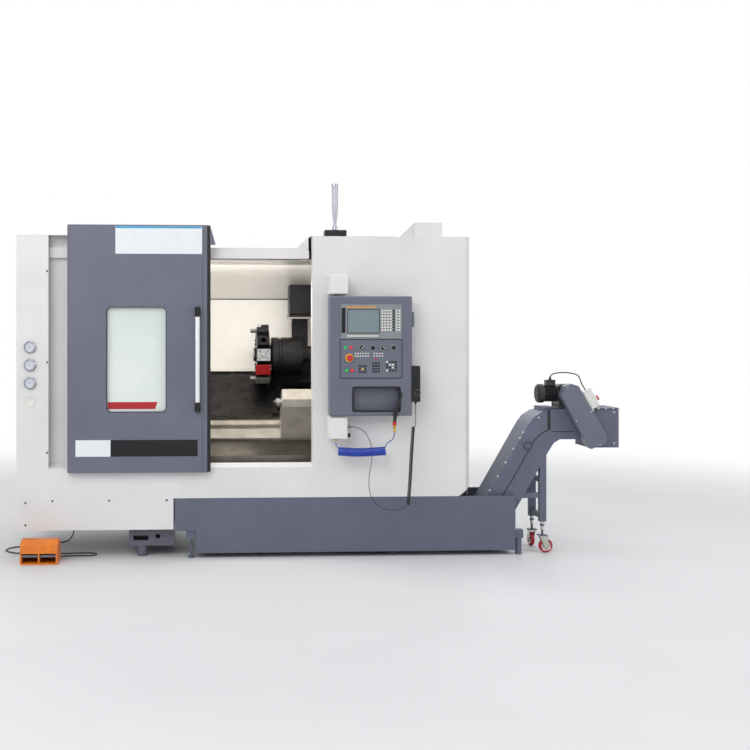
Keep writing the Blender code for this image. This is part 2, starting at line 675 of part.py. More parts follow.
def make_splash_guard():
    """The chamber's inner walls: ledge, back wall, ceiling and both end walls."""
    front = RECESS_DEPTH + SHEET + GAP
    top = HEADER_TOP - HEADER_HEIGHT - 0.004
    ledge = bed_point(0, SADDLE_HIGH + 0.010, COVER_TOP)
    fold = [
        (ledge.y, ledge.z), (GUARD_BACK, ledge.z), (GUARD_BACK, GUARD_SHOULDER),
        (GUARD_BACK - 0.26, GUARD_SHOULDER + 0.155), (front, top),
    ]
    guard = prism("splash_guard", "X", thin_sheet(fold, SHEET), (CHAMBER_LEFT, CHAMBER_RIGHT), "white_paint")
    floor = APRON_TOP + 0.036
    nose = bed_point(0, BED_LOW, 0)
    low = bed_point(0, BED_LOW - 0.010, RAIL_HEIGHT + 0.003)
    high = bed_point(0, BED_HIGH, RAIL_HEIGHT + 0.003)
    wall = [
        (front, floor), (nose.y - 0.073, floor), (low.y, low.z), (high.y, high.z),
        (GUARD_BACK, high.z), *fold[2:],
    ]
    walls = [
        prism("end_wall", "X", wall, (x, x + SHEET))
        for x in (CHAMBER_LEFT, CHAMBER_RIGHT - SHEET)
    ]
    unite(guard, *walls)
    axis = bed_point(0, 0, BED_DROP)
    hole = rod("nose_hole", (CHAMBER_LEFT - 0.02, axis.y, axis.z), (CHAMBER_LEFT + 0.02, axis.y, axis.z),
               NOSE_RADIUS + 0.010)
    unite(guard, make_fixed_way_cover())
    return carve(guard, hole)


def make_chip_chute():
    """The stainless pan that sheds chips from the bed into the tank."""
    top = bed_point(0, BED_LOW + 0.005, 0.010)
    fold = [
        (CHUTE_DROP, SPLIT_HEIGHT + 0.004), (CHUTE_DROP, CHUTE_BEND), (top.y, top.z),
    ]
    span = (CHAMBER_LEFT + SHEET + GAP, CHAMBER_RIGHT - SHEET - GAP)
    chute = prism("chip_chute", "X", thin_sheet(fold, SHEET), span, "stainless")
    ribs = []
    for x in (CHUTE_PAN_LEFT, CHUTE_PAN_LEFT + CHUTE_PAN_LENGTH):
        ribs.append(prism("chute_rib", "X", [
            (CHUTE_DROP - 0.002, CHUTE_BEND - 0.001), (top.y - 0.03, top.z - 0.012),
            (top.y - 0.03, top.z + 0.010), (CHUTE_DROP - 0.002, CHUTE_BEND + 0.012),
        ], (x, x + 0.006)))
    return unite(chute, *ribs)


def make_fixed_front_panel():
    """The set-back panel behind the open door, carrying the door's top rail."""
    sill = APRON_TOP + 0.022 + GAP
    panel = block("fixed_front_panel", (LEFT_COVER_WIDTH + GAP, OPENING_LEFT),
                  (RECESS_DEPTH, RECESS_DEPTH + SHEET), (sill, ENCLOSURE_TOP), "white_paint")
    jamb = block("inner_jamb", (OPENING_LEFT - SHEET, OPENING_LEFT), (RECESS_DEPTH - 0.010, RECESS_DEPTH + SHEET),
                 (sill, HEADER_TOP - HEADER_HEIGHT + 0.01))
    rail = prism("door_rail", "Y", [
        (LEFT_COVER_WIDTH + GAP, HEADER_TOP - HEADER_HEIGHT), (HEADER_RIGHT, HEADER_TOP - HEADER_HEIGHT),
        (HEADER_RIGHT, HEADER_TOP - 0.020), (HEADER_RIGHT - 0.014, HEADER_TOP),
        (LEFT_COVER_WIDTH + GAP, HEADER_TOP),
    ], (RECESS_DEPTH - RAIL_DEPTH, RECESS_DEPTH + SHEET / 2))
    return unite(panel, jamb, rail)


def make_headstock():
    """The cast spindle housing on the left end of the bed."""
    outline = [
        (BED_LOW + 0.005, GAP), (0.280, GAP), (0.170, BED_DROP - 0.07), (0.150, BED_DROP + 0.11),
        (0.090, BED_DROP + 0.14), (-0.090, BED_DROP + 0.14), (-0.150, BED_DROP + 0.11),
        (-0.150, BED_DROP - 0.11),
    ]
    head = bed_prism("headstock", (HEADSTOCK_LEFT, HEADSTOCK_RIGHT), outline, "cast_paint")
    axis = bed_point(0, 0, BED_DROP)
    bore = rod("spindle_bore", (HEADSTOCK_LEFT - 0.01, axis.y, axis.z), (HEADSTOCK_RIGHT + 0.01, axis.y, axis.z),
               running_bore(SPINDLE_RADIUS))
    return carve(head, bore)


def running_bore(radius, segments=SEGMENTS):
    """The bore that a faceted shaft can turn in without its corners touching."""
    return (radius + GAP) / math.cos(math.pi / segments)


def make_spindle_motor():
    """The main motor on its shelf with the belt pulley on its shaft."""
    y, z = MOTOR_DEPTH, BED_BOTTOM + SHELF_HEIGHT + GAP + MOTOR_SIZE / 2
    half = MOTOR_SIZE / 2
    body = block("spindle_motor", (MOTOR_LEFT, PULLEY_LEFT - 0.030), (y - half, y + half),
                 (z - half, z + half), "black_paint", round_edges=0.015)
    shaft = rod("motor_shaft", (PULLEY_LEFT - 0.035, y, z), (PULLEY_LEFT + 0.005, y, z), 0.024)
    pulley = turned("motor_pulley", (PULLEY_LEFT, y, z), (1, 0, 0), grooved(PULLEY_WIDTH, 0.070, 2))
    return unite(body, shaft, pulley)


def grooved(width, radius, grooves):
    """A solid belt pulley's profile: a flat rim cut by vee grooves."""
    profile = [(0, 0), (0, radius)]
    pitch = width / grooves
    for k in range(grooves):
        start = k * pitch
        profile += [(start + pitch * 0.15, radius), (start + pitch * 0.4, radius - 0.008),
                    (start + pitch * 0.6, radius - 0.008), (start + pitch * 0.85, radius)]
    return profile + [(width, radius), (width, 0)]


def make_cabinet():
    """The electrical cabinet on the machine's back, and its hinged door."""
    back = ENCLOSURE_DEPTH + 2 * GAP + SHEET
    far = back + CABINET_DEPTH
    x = (CABINET_LEFT, CABINET_LEFT + CABINET_WIDTH)
    z = (CABINET_BOTTOM, CABINET_BOTTOM + CABINET_HEIGHT)
    case = block("electrical_cabinet", x, (back, far), z, "white_paint")
    inside = block("cabinet_inside", (x[0] + 0.02, x[1] - 0.02), (back + 0.02, far + 0.02),
                   (z[0] + 0.02, z[1] - 0.02))
    carve(case, inside)
    backplate = block("mounting_plate", (x[0] + 0.05, x[1] - 0.05), (back + 0.015, back + 0.035),
                      (z[0] + 0.05, z[1] - 0.05))
    drives = [
        block("drive_unit", (x[0] + 0.10 + k * 0.20, x[0] + 0.24 + k * 0.20), (back + 0.03, back + 0.19),
              (z[1] - 0.62, z[1] - 0.22))
        for k in range(4)
    ]
    unite(case, backplate, *drives)
    hinge_x = x[1] - 0.006
    hinge_y = far + GAP + 0.010
    door = block("cabinet_door", (x[0], x[1] - 0.006), (far + GAP, far + GAP + 0.020), z, "white_paint",
                 origin=(hinge_x, hinge_y, 0))
    knuckles = [
        rod("door_knuckle", (hinge_x, hinge_y, z[0] + h), (hinge_x, hinge_y, z[0] + h + 0.08), 0.0095, segments=12)
        for h in (0.15, CABINET_HEIGHT / 2, CABINET_HEIGHT - 0.23)
    ]
    latch = block("door_latch", (x[0] + 0.03, x[0] + 0.06), (far + 0.019, far + 0.045),
                  ((z[0] + z[1]) / 2 - 0.07, (z[0] + z[1]) / 2 + 0.07))
    unite(door, *knuckles, latch)
    return case, door


def make_door():
    """The sliding front door, its window pane and its pull bar."""
    x = (DOOR_LEFT, DOOR_LEFT + DOOR_WIDTH)
    z = (DOOR_BOTTOM, DOOR_BOTTOM + DOOR_HEIGHT)
    back, front = -DOOR_STANDOFF, -DOOR_STANDOFF - DOOR_THICKNESS
    origin = (x[0], back, z[0])
    outline = [
        (x[0], back), (x[1], back), (x[1], front + 0.020), (x[1] - 0.022, front),
        (x[0] + 0.020, front), (x[0], front + 0.020),
    ]
    door = prism("door_panel", "Z", outline, z, "grey_paint", origin)
    hood = block("door_hood", (x[0] + 0.002, x[1] - 0.002), (back - 0.020, 0.030), (z[1] - 0.024, z[1] - 0.002))
    gusset = prism("door_gusset", "Y", [
        (x[1] - 0.010, z[1] - 0.126), (x[1] + 0.033, z[1] - 0.126), (x[1] - 0.001, z[1] - 0.006),
        (x[1] - 0.010, z[1] - 0.006),
    ], (back - 0.030, back - 0.004))
    hangers = [
        block("door_hanger", (x[0] + at, x[0] + at + 0.10), (back - 0.010, RECESS_DEPTH - 0.010),
              (HEADER_TOP + GAP, HEADER_TOP + 0.032))
        for at in (0.08, DOOR_WIDTH - 0.18)
    ]
    shoes = [
        block("door_shoe", (x[0] + at, x[0] + at + 0.06), (back - 0.010, 0.006), (APRON_TOP + 0.006, APRON_TOP + 0.026))
        for at in (0.10, DOOR_WIDTH - 0.16)
    ]
    unite(door, hood, gusset, *hangers, *shoes)
    wide = (WINDOW_LEFT, WINDOW_LEFT + WINDOW_WIDTH)
    tall = (WINDOW_BOTTOM, WINDOW_BOTTOM + WINDOW_HEIGHT)
    hole = prism("window_hole", "Y", rounded(wide, tall, WINDOW_CORNER), (front - 0.01, back + 0.01))
    rebate = prism("window_rebate", "Y", rounded(
        (wide[0] - 0.012, wide[1] + 0.012), (tall[0] - 0.012, tall[1] + 0.012), WINDOW_CORNER + 0.012,
    ), (back - 0.020, back + 0.01))
    groove = block("door_groove", (x[1] - 0.052, x[1] - 0.047), (front - 0.01, front + 0.004),
                   (z[0] - 0.01, z[1] + 0.01))
    carve(door, hole, rebate, groove)
    edge = 0.012 - GAP
    pane = prism("door_window", "Y", rounded(
        (wide[0] - edge, wide[1] + edge), (tall[0] - edge, tall[1] + edge), WINDOW_CORNER + edge,
    ), (back - 0.020 + GAP, back - 0.010), "window_glass", origin)
    return door, pane, make_door_handle(front - GAP, origin)


def make_door_handle(face, origin):
    """The tall pull bar between its two end mounts."""
    x = (HANDLE_LEFT, HANDLE_LEFT + HANDLE_WIDTH)
    z = (WINDOW_BOTTOM, WINDOW_BOTTOM + WINDOW_HEIGHT)
    middle = (x[0] + x[1]) / 2
    reach = face - HANDLE_REACH
    low = block("door_handle", x, (reach, face), (z[0], z[0] + 0.060), "bright_steel", origin, round_edges=0.005)
    high = block("handle_top", x, (reach, face), (z[1] - 0.060, z[1]), round_edges=0.005)
    bar = rod("handle_bar", (middle, reach + 0.017, z[0] + 0.03), (middle, reach + 0.017, z[1] - 0.03), 0.013,
              segments=16)
    return unite(low, high, bar)


def rounded(wide, tall, radius, steps=5):
    """A rectangle's outline with round corners."""
    corners = [
        (wide[1] - radius, tall[1] - radius, 0), (wide[0] + radius, tall[1] - radius, 90),
        (wide[0] + radius, tall[0] + radius, 180), (wide[1] - radius, tall[0] + radius, 270),
    ]
    outline = []
    for u, v, start in corners:
        for k in range(steps + 1):
            turn = math.radians(start + 90 * k / steps)
            outline.append((u + radius * math.cos(turn), v + radius * math.sin(turn)))
    return outline


def make_spindle():
    """The hollow spindle with its rear cylinder, belt pulley and nose flange."""
    axis = bed_point(0, 0, BED_DROP)
    start = CYLINDER_LEFT
    pulley = PULLEY_LEFT - start
    end = pulley + PULLEY_WIDTH
    flange = HEADSTOCK_RIGHT + 0.005 - start
    face = CHUCK_FACE - GAP - start
    rim = [
        (pulley + 0.012, PULLEY_RADIUS), (pulley + 0.020, PULLEY_RADIUS - 0.008),
        (pulley + 0.028, PULLEY_RADIUS), (pulley + 0.042, PULLEY_RADIUS),
        (pulley + 0.050, PULLEY_RADIUS - 0.008), (pulley + 0.058, PULLEY_RADIUS),
    ]
    profile = [
        (0, SPINDLE_BORE), (0, 0.075), (0.020, 0.098), (0.120, 0.098), (0.120, 0.055),
        (pulley, 0.055), (pulley, PULLEY_RADIUS), *rim, (end, PULLEY_RADIUS), (end, SPINDLE_RADIUS),
        (flange, SPINDLE_RADIUS), (flange, NOSE_RADIUS), (face, NOSE_RADIUS), (face, SPINDLE_BORE),
    ]
    return turned("spindle", (start, axis.y, axis.z), (1, 0, 0), profile, "bright_steel")


def jaw_directions():
    """The three jaws' directions in the chuck's face, the first straight up."""
    return [Vector((0, math.cos(a), math.sin(a))) for a in (math.radians(90 + 120 * k) for k in range(3))]


def make_chuck():
    """The three-jaw power chuck: a drilled body with slots, and stepped jaws in them."""
    axis = bed_point(0, 0, BED_DROP)
    centre = Vector((CHUCK_FACE, axis.y, axis.z))
    body = turned("chuck_body", centre, (1, 0, 0), [
        (0, SPINDLE_BORE), (0, CHUCK_RADIUS - 0.004), (0.004, CHUCK_RADIUS),
        (CHUCK_LENGTH - 0.006, CHUCK_RADIUS), (CHUCK_LENGTH, CHUCK_RADIUS - 0.006), (CHUCK_LENGTH, SPINDLE_BORE),
    ], "bright_steel")
    jaws = []
    for k, out in enumerate(jaw_directions()):
        turn = Matrix.Rotation(math.radians(120 * k), 4, (1, 0, 0))
        slot = block("jaw_slot", (CHUCK_LENGTH - SLOT_DEPTH, CHUCK_LENGTH + 0.01), (-JAW_WIDTH / 2, JAW_WIDTH / 2),
                     (0, CHUCK_RADIUS + 0.01))
        slot.matrix_local = Matrix.Translation(centre) @ turn
        carve(body, slot)
        half = JAW_WIDTH / 2 - GAP
        foot = CHUCK_LENGTH - SLOT_DEPTH + GAP
        face = CHUCK_LENGTH + JAW_LENGTH
        jaw = prism(f"chuck_jaw_{k + 1}", "Y", [
            (foot, JAW_GRIP + 0.012), (CHUCK_LENGTH + 0.004, JAW_GRIP + 0.012), (CHUCK_LENGTH + 0.004, JAW_GRIP),
            (face, JAW_GRIP), (face, JAW_GRIP + 0.022), (face - 0.016, JAW_GRIP + 0.022),
            (face - 0.016, JAW_GRIP + 0.044), (face - 0.032, JAW_GRIP + 0.044),
            (face - 0.032, CHUCK_RADIUS - 0.012), (foot, CHUCK_RADIUS - 0.012),
        ], (-half, half), "bright_steel")
        jaw.matrix_local = Matrix.Translation(centre) @ turn
        jaws.append(jaw)
    return body, jaws


def make_carriage():
    """The saddle on the upper ways, with the covers that it pushes and draws along."""
    low, high = SADDLE_LOW, SADDLE_HIGH
    x = (SADDLE_LEFT, SADDLE_LEFT + SADDLE_LENGTH)
    top = SADDLE_TOP
    saddle = bed_block("carriage", x, (low, high), (RAIL_HEIGHT + GAP, top), "cast_paint")
    level = COVER_TOP - SHEET
    own = bed_block("own_cover", (x[0] - COVER_SECTION, x[0] + 0.02), (COVER_LOW, COVER_HIGH), (level, COVER_TOP))
    reach = (CHAMBER_RIGHT - x[1]) * REAR_COVER_SHARE
    rear = bed_block("right_cover_plate", (x[1] - 0.02, x[1] + reach), (COVER_LOW, COVER_HIGH), (level, COVER_TOP))
    rails = [
        bed_block("cross_rail", (x[0] + at, x[0] + at + 0.03), (low + 0.020, high),
                  (top - 0.002, top + CROSS_RAIL_HEIGHT))
        for at in (0.04, SADDLE_LENGTH - 0.07)
    ]
    return unite(saddle, own, rear, *rails)


def make_way_covers():
    """Two loose sections of the telescopic cover, each under the one to its right."""
    sections = []
    step = (SADDLE_LEFT - COVER_SECTION - COVER_START) / 3
    for k, name in enumerate(("way_cover_inner", "way_cover_outer")):
        left = COVER_START + (k + 1) * step
        level = COVER_TOP - SHEET - (2 - k) * COVER_STEP
        sections.append(bed_block(name, (left, left + COVER_SECTION), (COVER_LOW, COVER_HIGH),
                                  (level, level + SHEET), "dark_steel"))
    return sections


def make_fixed_way_cover():
    """The cover section that stays at the headstock, on two feet over the ways."""
    level = COVER_TOP - SHEET - 3 * COVER_STEP
    plate = bed_block("fixed_way_cover", (COVER_START, COVER_START + COVER_SECTION), (COVER_LOW, COVER_HIGH),
                      (level, level + SHEET))
    return plate


def make_cross_slide():
    """The cross slide with the turret's round housing standing on it."""
    base = SADDLE_TOP + CROSS_RAIL_HEIGHT + GAP
    x = (SADDLE_LEFT + 0.010, SADDLE_LEFT + SADDLE_LENGTH - 0.020)
    slide = bed_block("cross_slide", x, (CROSS_LOW, CROSS_HIGH), (base, base + CROSS_THICKNESS), "cast_paint")
    saddle_x = (x[0] + 0.010, x[0] + HOUSING_LENGTH - 0.024)
    foot = bed_block("turret_foot", saddle_x, (TURRET_SLOPE - 0.085, TURRET_SLOPE + 0.105),
                     (base + CROSS_THICKNESS - 0.002, BED_DROP - 0.031))
    axis = bed_point(TURRET_LEFT + TURRET_WIDTH + BOSS_LENGTH + GAP, TURRET_SLOPE, BED_DROP)
    housing = turned("turret_housing", axis, (1, 0, 0), [
        (0, 0), (0, HOUSING_RADIUS - 0.006), (0.006, HOUSING_RADIUS), (0.050, HOUSING_RADIUS),
        (0.054, HOUSING_RADIUS - 0.006), (0.070, HOUSING_RADIUS - 0.006), (0.074, HOUSING_RADIUS),
        (HOUSING_LENGTH, HOUSING_RADIUS), (HOUSING_LENGTH, 0),
    ])
    motor = rod("index_motor", axis + Vector((HOUSING_LENGTH - 0.005, 0, 0)),
                axis + Vector((HOUSING_LENGTH + 0.090, 0, 0)), 0.062)
    return unite(slide, foot, housing, motor)


def station_frame(degrees):
    """The turn that carries a shape drawn on the front station round the turret."""
    axis = bed_point(TURRET_LEFT, TURRET_SLOPE, BED_DROP)
    return Matrix.Translation(axis) @ Matrix.Rotation(math.radians(-degrees), 4, "X")


def tool_block(name, degrees, x, half_width, reach, finish=None):
    """A block bolted on one flat, pointing away from the turret's axis."""
    flat = TURRET_RADIUS * math.cos(math.pi / TURRET_STATIONS)
    start = flat + GAP if finish else flat - 0.004
    made = block(name, x, (-reach, -start), (-half_width, half_width), finish)
    made.matrix_local = station_frame(degrees)
    return made


def make_turret():
    """The twelve-sided tool disc with its holders, one boring holder a piece of its own."""
    axis = bed_point(TURRET_LEFT, TURRET_SLOPE, BED_DROP)
    corners = [math.radians(15 + 30 * k) for k in range(TURRET_STATIONS)]
    outline = [
        (axis.y + TURRET_RADIUS * math.cos(a), axis.z + TURRET_RADIUS * math.sin(a)) for a in corners
    ]
    disc = prism("turret_disc", "X", outline, (axis.x, axis.x + TURRET_WIDTH), "black_paint", axis)
    boss = rod("turret_boss", (axis.x + TURRET_WIDTH - 0.004, axis.y, axis.z),
               (axis.x + TURRET_WIDTH + BOSS_LENGTH, axis.y, axis.z), 0.070)
    cap = rod("turret_cap", (axis.x - 0.012, axis.y, axis.z), (axis.x + 0.004, axis.y, axis.z), 0.050)
    blocks = [
        tool_block("tool_block", 90, (0.038, TURRET_WIDTH - 0.002), 0.034, TOOL_REACH - 0.004),
        tool_block("tool_block", 60, (0.002, TURRET_WIDTH - 0.006), 0.036, TOOL_REACH - 0.010),
        tool_block("tool_block", 30, (0.004, TURRET_WIDTH - 0.004), 0.036, TOOL_REACH - 0.010),
        tool_block("tool_block", -30, (0.002, TURRET_WIDTH - 0.006), 0.036, TOOL_REACH - 0.010),
        tool_block("tool_block", -60, (-0.006, TURRET_WIDTH), 0.034, TOOL_REACH - 0.006),
        tool_block("tool_block", -90, (0.004, TURRET_WIDTH - 0.010), 0.034, TOOL_REACH - 0.006),
        tool_block("tool_block", 150, (0.004, TURRET_WIDTH - 0.010), 0.030, TOOL_REACH - 0.010),
        tool_block("tool_block", 210, (0.004, TURRET_WIDTH - 0.010), 0.030, TOOL_REACH - 0.010),
    ]
    unite(disc, boss, cap, *blocks)
    hole = tool_hole(30, TOOL_REACH - 0.070, 0.022)
    carve(disc, hole)
    holder = tool_block("boring_holder", 0, (0.002, TURRET_WIDTH - 0.002), 0.042, TOOL_REACH - 0.006, "bright_steel")
    carve(holder, tool_hole(0, TOOL_REACH - 0.036, 0.026))
    return disc, holder


def tool_hole(degrees, start, radius):
    """A round hole into a holder's outer face."""
    middle = TURRET_WIDTH / 2
    made = rod("tool_hole", (middle, -start, 0), (middle, -TOOL_REACH - 0.01, 0), radius, segments=20,
               origin=(0, 0, 0))
    made.matrix_local = station_frame(degrees)
    return made


def make_tailstock():
    """The tailstock body on the lower ways, its quill and its live centre."""
    low, high = TAILSTOCK_RAILS[0] - 0.025, TAILSTOCK_RAILS[1] + 0.025
    wide = QUILL_RADIUS + 0.043
    outline = [
        (low, RAIL_HEIGHT + GAP), (high, RAIL_HEIGHT + GAP), (high, 0.100), (wide - 0.003, BED_DROP - 0.07),
        (wide, BED_DROP + 0.030), (wide - 0.030, BED_DROP + 0.075), (0.030 - wide, BED_DROP + 0.075),
        (-wide, BED_DROP + 0.030), (-wide, BED_DROP - 0.09), (low, 0.100),
    ]
    x = (TAILSTOCK_LEFT, TAILSTOCK_LEFT + TAILSTOCK_LENGTH)
    body = bed_prism("tailstock_body", x, outline, "cast_paint")
    axis = bed_point(0, 0, BED_DROP)
    depth = TAILSTOCK_LENGTH - 0.030
    bore = rod("quill_bore", (x[0] - 0.01, axis.y, axis.z), (x[0] + depth, axis.y, axis.z), QUILL_RADIUS + GAP)
    rear = rod("quill_cylinder", (x[1] - 0.005, axis.y, axis.z), (x[1] + 0.070, axis.y, axis.z), QUILL_RADIUS + 0.015)
    unite(body, rear)
    carve(body, bore)
    face = x[0] - QUILL_STICKOUT
    quill = rod("tailstock_quill", (face, axis.y, axis.z), (x[0] + depth - GAP, axis.y, axis.z),
                QUILL_RADIUS, "bright_steel")
    tip = face - GAP - CENTER_LENGTH
    center = turned("live_center", (tip, axis.y, axis.z), (1, 0, 0), [
        (0, 0), (0.026, 0.015), (0.026, 0.024), (0.030, 0.028), (CENTER_LENGTH - 0.006, 0.028),
        (CENTER_LENGTH - 0.006, 0.020), (CENTER_LENGTH, 0.020), (CENTER_LENGTH, 0),
    ], "bright_steel")
    return body, quill, center


def make_tower_lamp():
    """The lamp tube on a flat black box over the right front panel."""
    floor = ENCLOSURE_TOP + SHEET + 2 * GAP
    half = LAMP_BASE_WIDTH / 2
    base = block("tower_lamp_base", (LAMP_X - half, LAMP_X + half), (LAMP_DEPTH - 0.045, LAMP_DEPTH + 0.045),
                 (floor, floor + LAMP_BASE_HEIGHT), "black_paint", round_edges=0.004)
    tube = turned("tower_lamp_tube", (LAMP_X, LAMP_DEPTH, floor + LAMP_BASE_HEIGHT + GAP), (0, 0, 1), [
        (0, 0), (0, LAMP_RADIUS * 0.85), (0.036, LAMP_RADIUS * 0.85), (0.040, LAMP_RADIUS * 0.48),
        (0.085, LAMP_RADIUS * 0.48), (0.150, LAMP_RADIUS), (LAMP_HEIGHT - 0.010, LAMP_RADIUS),
        (LAMP_HEIGHT, LAMP_RADIUS * 0.75), (LAMP_HEIGHT, 0),
    ], "lamp_acrylic", segments=20)
    return base, tube


def pivot_point():
    """The control panel's upright swing axis, at floor level."""
    return Vector((PANEL_LEFT + PIVOT_INSET, -PIVOT_STANDOFF, 0))


def make_pivot_arm():
    """The fixed housing over the panel, with a hole for its upper pin."""
    pivot = pivot_point()
    left = PANEL_LEFT + 0.001
    top = PANEL_BOTTOM + PANEL_HEIGHT + 0.014
    arm = block("upper_pivot_arm", (left, left + ARM_BOX_WIDTH), (-PIVOT_STANDOFF - 0.050, -GAP), (top, top + 0.124),
                "white_paint", round_edges=0.004)
    hole = rod("pivot_hole", (pivot.x, pivot.y, top - 0.01), (pivot.x, pivot.y, top + 0.030),
               running_bore(PIN_RADIUS))
    carve(arm, hole)
    return arm


def make_pivot_plate():
    """The plate welded to the front cover that carries the panel's lower pin."""
    pivot = pivot_point()
    left = PANEL_LEFT + 0.001
    plate = block("lower_pivot_plate", (left, left + ARM_BOX_WIDTH), (-PIVOT_STANDOFF - 0.030, SHEET / 2),
                  (PANEL_BOTTOM - 0.010, PANEL_BOTTOM - 0.002))
    hole = rod("pivot_hole_low", (pivot.x, pivot.y, PANEL_BOTTOM - 0.02), (pivot.x, pivot.y, PANEL_BOTTOM + 0.01),
               running_bore(PIN_RADIUS))
    return plate, hole


def make_panel_box():
    """The grey cabinet of the controls with its paper pocket, hand wheel hook and pivot pins."""
    pivot = pivot_point()
    x = (PANEL_LEFT, PANEL_LEFT + PANEL_WIDTH)
    z = (PANEL_BOTTOM, PANEL_BOTTOM + PANEL_HEIGHT)
    y = (PANEL_FRONT, PANEL_FRONT + PANEL_DEPTH)
    box = block("panel_box", x, y, z, "grey_paint", pivot, round_edges=0.006)
    top_pin = rod("top_pin", (pivot.x, pivot.y, z[1] - 0.01), (pivot.x, pivot.y, z[1] + 0.038), PIN_RADIUS)
    low_pin = rod("low_pin", (pivot.x, pivot.y, z[0] - 0.0125), (pivot.x, pivot.y, z[0] + 0.01), PIN_RADIUS)
    latch = block("panel_latch", (x[1] - 0.005, x[1] + 0.017), (y[0] + 0.020, y[0] + 0.060),
                  (z[1] - 0.200, z[1] - 0.103))
    unite(box, top_pin, low_pin, latch)
    unit_x = (x[0] + UNIT_INSET, x[0] + UNIT_INSET + UNIT_WIDTH)
    rebate = block("unit_rebate", (unit_x[0] - GAP, unit_x[1] + GAP), (y[0] - 0.01, y[0] + 0.006),
                   (UNIT_BOTTOM - GAP, UNIT_BOTTOM + UNIT_HEIGHT + GAP))
    keys = block("key_recess", unit_x, (y[0] - 0.01, y[0] + KEY_RECESS), (UNIT_BOTTOM - 0.254, UNIT_BOTTOM - 0.004))
    pocket = block("paper_pocket", (x[0] + 0.156, x[0] + 0.454), (y[0] - 0.01, y[0] + 0.060),
                   (z[0] + 0.035, z[0] + 0.181))
    bores = [
        rod("button_bore", centre, centre + Vector((0, BORE_DEPTH, 0)), running_bore(radius, 16), segments=16)
        for centre, radius in control_places().values() if radius
    ]
    carve(box, rebate, keys, pocket, *bores)
    return box


def control_places():
    """Each control's middle on the recessed face, and its stem's radius if it is pressed in."""
    face = PANEL_FRONT + KEY_RECESS
    left = PANEL_LEFT + UNIT_INSET
    places = {
        "e_stop_button": (0.058, CONTROL_ROW - 0.066, STOP_STEM_RADIUS),
        "mode_knob": (0.142, CONTROL_ROW, 0),
        "feed_override_knob": (0.282, CONTROL_ROW, 0),
        "cycle_start_button": (0.040, UNIT_BOTTOM - 0.204, BUTTON_RADIUS),
        "feed_hold_button": (0.076, UNIT_BOTTOM - 0.204, BUTTON_RADIUS),
    }
    return {name: (Vector((left + x, face, z)), stem) for name, (x, z, stem) in places.items()}


def make_cnc_unit():
    """The display and keypad unit let into the panel's face."""
    x = (PANEL_LEFT + UNIT_INSET, PANEL_LEFT + UNIT_INSET + UNIT_WIDTH)
    z = (UNIT_BOTTOM, UNIT_BOTTOM + UNIT_HEIGHT)
    unit = block("cnc_unit", x, (PANEL_FRONT - 0.004, PANEL_FRONT + 0.006 - GAP), z, "pale_plastic", pivot_point())
    screen = block("screen_recess", (x[0] + 0.045, x[0] + 0.255), (PANEL_FRONT - 0.01, PANEL_FRONT - 0.002),
                   (z[0] + 0.036, z[1] - 0.033))
    return carve(unit, screen)


def make_controls():
    """Emergency stop, two rotary knobs and the start and hold buttons, each on its own stem."""
    made = []
    for name, (centre, stem) in control_places().items():
        if name == "e_stop_button":
            profile = [
                (-STEM_LENGTH, 0), (-STEM_LENGTH, stem), (0.012, stem), (0.014, STOP_RADIUS),
                (0.024, STOP_RADIUS), (0.030, STOP_RADIUS - 0.006), (0.030, 0),
            ]
        elif stem:
            profile = [
                (-STEM_LENGTH, 0), (-STEM_LENGTH, stem), (0.008, stem), (0.010, stem - 0.002), (0.010, 0),
            ]
        else:
            profile = [
                (GAP, 0), (GAP, KNOB_RADIUS), (0.004, KNOB_RADIUS), (0.006, KNOB_RADIUS - 0.003),
                (0.018, KNOB_RADIUS - 0.004), (0.018, 0),
            ]
        made.append(turned(name, centre, (0, -1, 0), profile, CONTROL_FINISHES[name], segments=16))
    return made


def make_junction_box():
    """The white box that hangs under the panel on the lower pin and feeds its cords."""
    pivot = pivot_point()
    left = PANEL_LEFT - 0.004
    top = PANEL_BOTTOM - 0.0105
    box = block("junction_box", (left, left + ARM_BOX_WIDTH), (-PIVOT_STANDOFF - 0.050, -PIVOT_STANDOFF + 0.045),
                (top - 0.139, top), "white_paint", pivot, round_edges=0.003)
    hole = rod("box_pin_hole", (pivot.x, pivot.y, top - 0.004), (pivot.x, pivot.y, top + 0.01), PIN_RADIUS + GAP)
    side = left + ARM_BOX_WIDTH
    gland = rod("cable_gland", (side - 0.004, CORD_Y, CABLE_EXIT_Z), (side + 0.012, CORD_Y, CABLE_EXIT_Z), 0.010,
                segments=12)
    spigot = rod("hose_spigot", (HOSE_X, CORD_Y, top - 0.136), (HOSE_X, CORD_Y, top - 0.160), 0.008, segments=12)
    unite(box, gland, spigot)
    return carve(box, hole)


def make_hand_wheel():
    """The hand wheel box hooked on the panel's right edge."""
    pivot = pivot_point()
    right = PANEL_LEFT + PANEL_WIDTH + GAP
    box = block("hand_wheel_box", (right, right + 0.052), (PANEL_FRONT - 0.010, PANEL_FRONT + 0.045),
                (PANEL_BOTTOM + 0.090, PANEL_BOTTOM + 0.325), "black_plastic", pivot, round_edges=0.006)
    wheel = rod("hand_wheel", (right + 0.026, PANEL_FRONT - 0.008, PANEL_BOTTOM + 0.150),
                (right + 0.026, PANEL_FRONT - 0.024, PANEL_BOTTOM + 0.150), 0.024, segments=20)
    return unite(box, wheel)


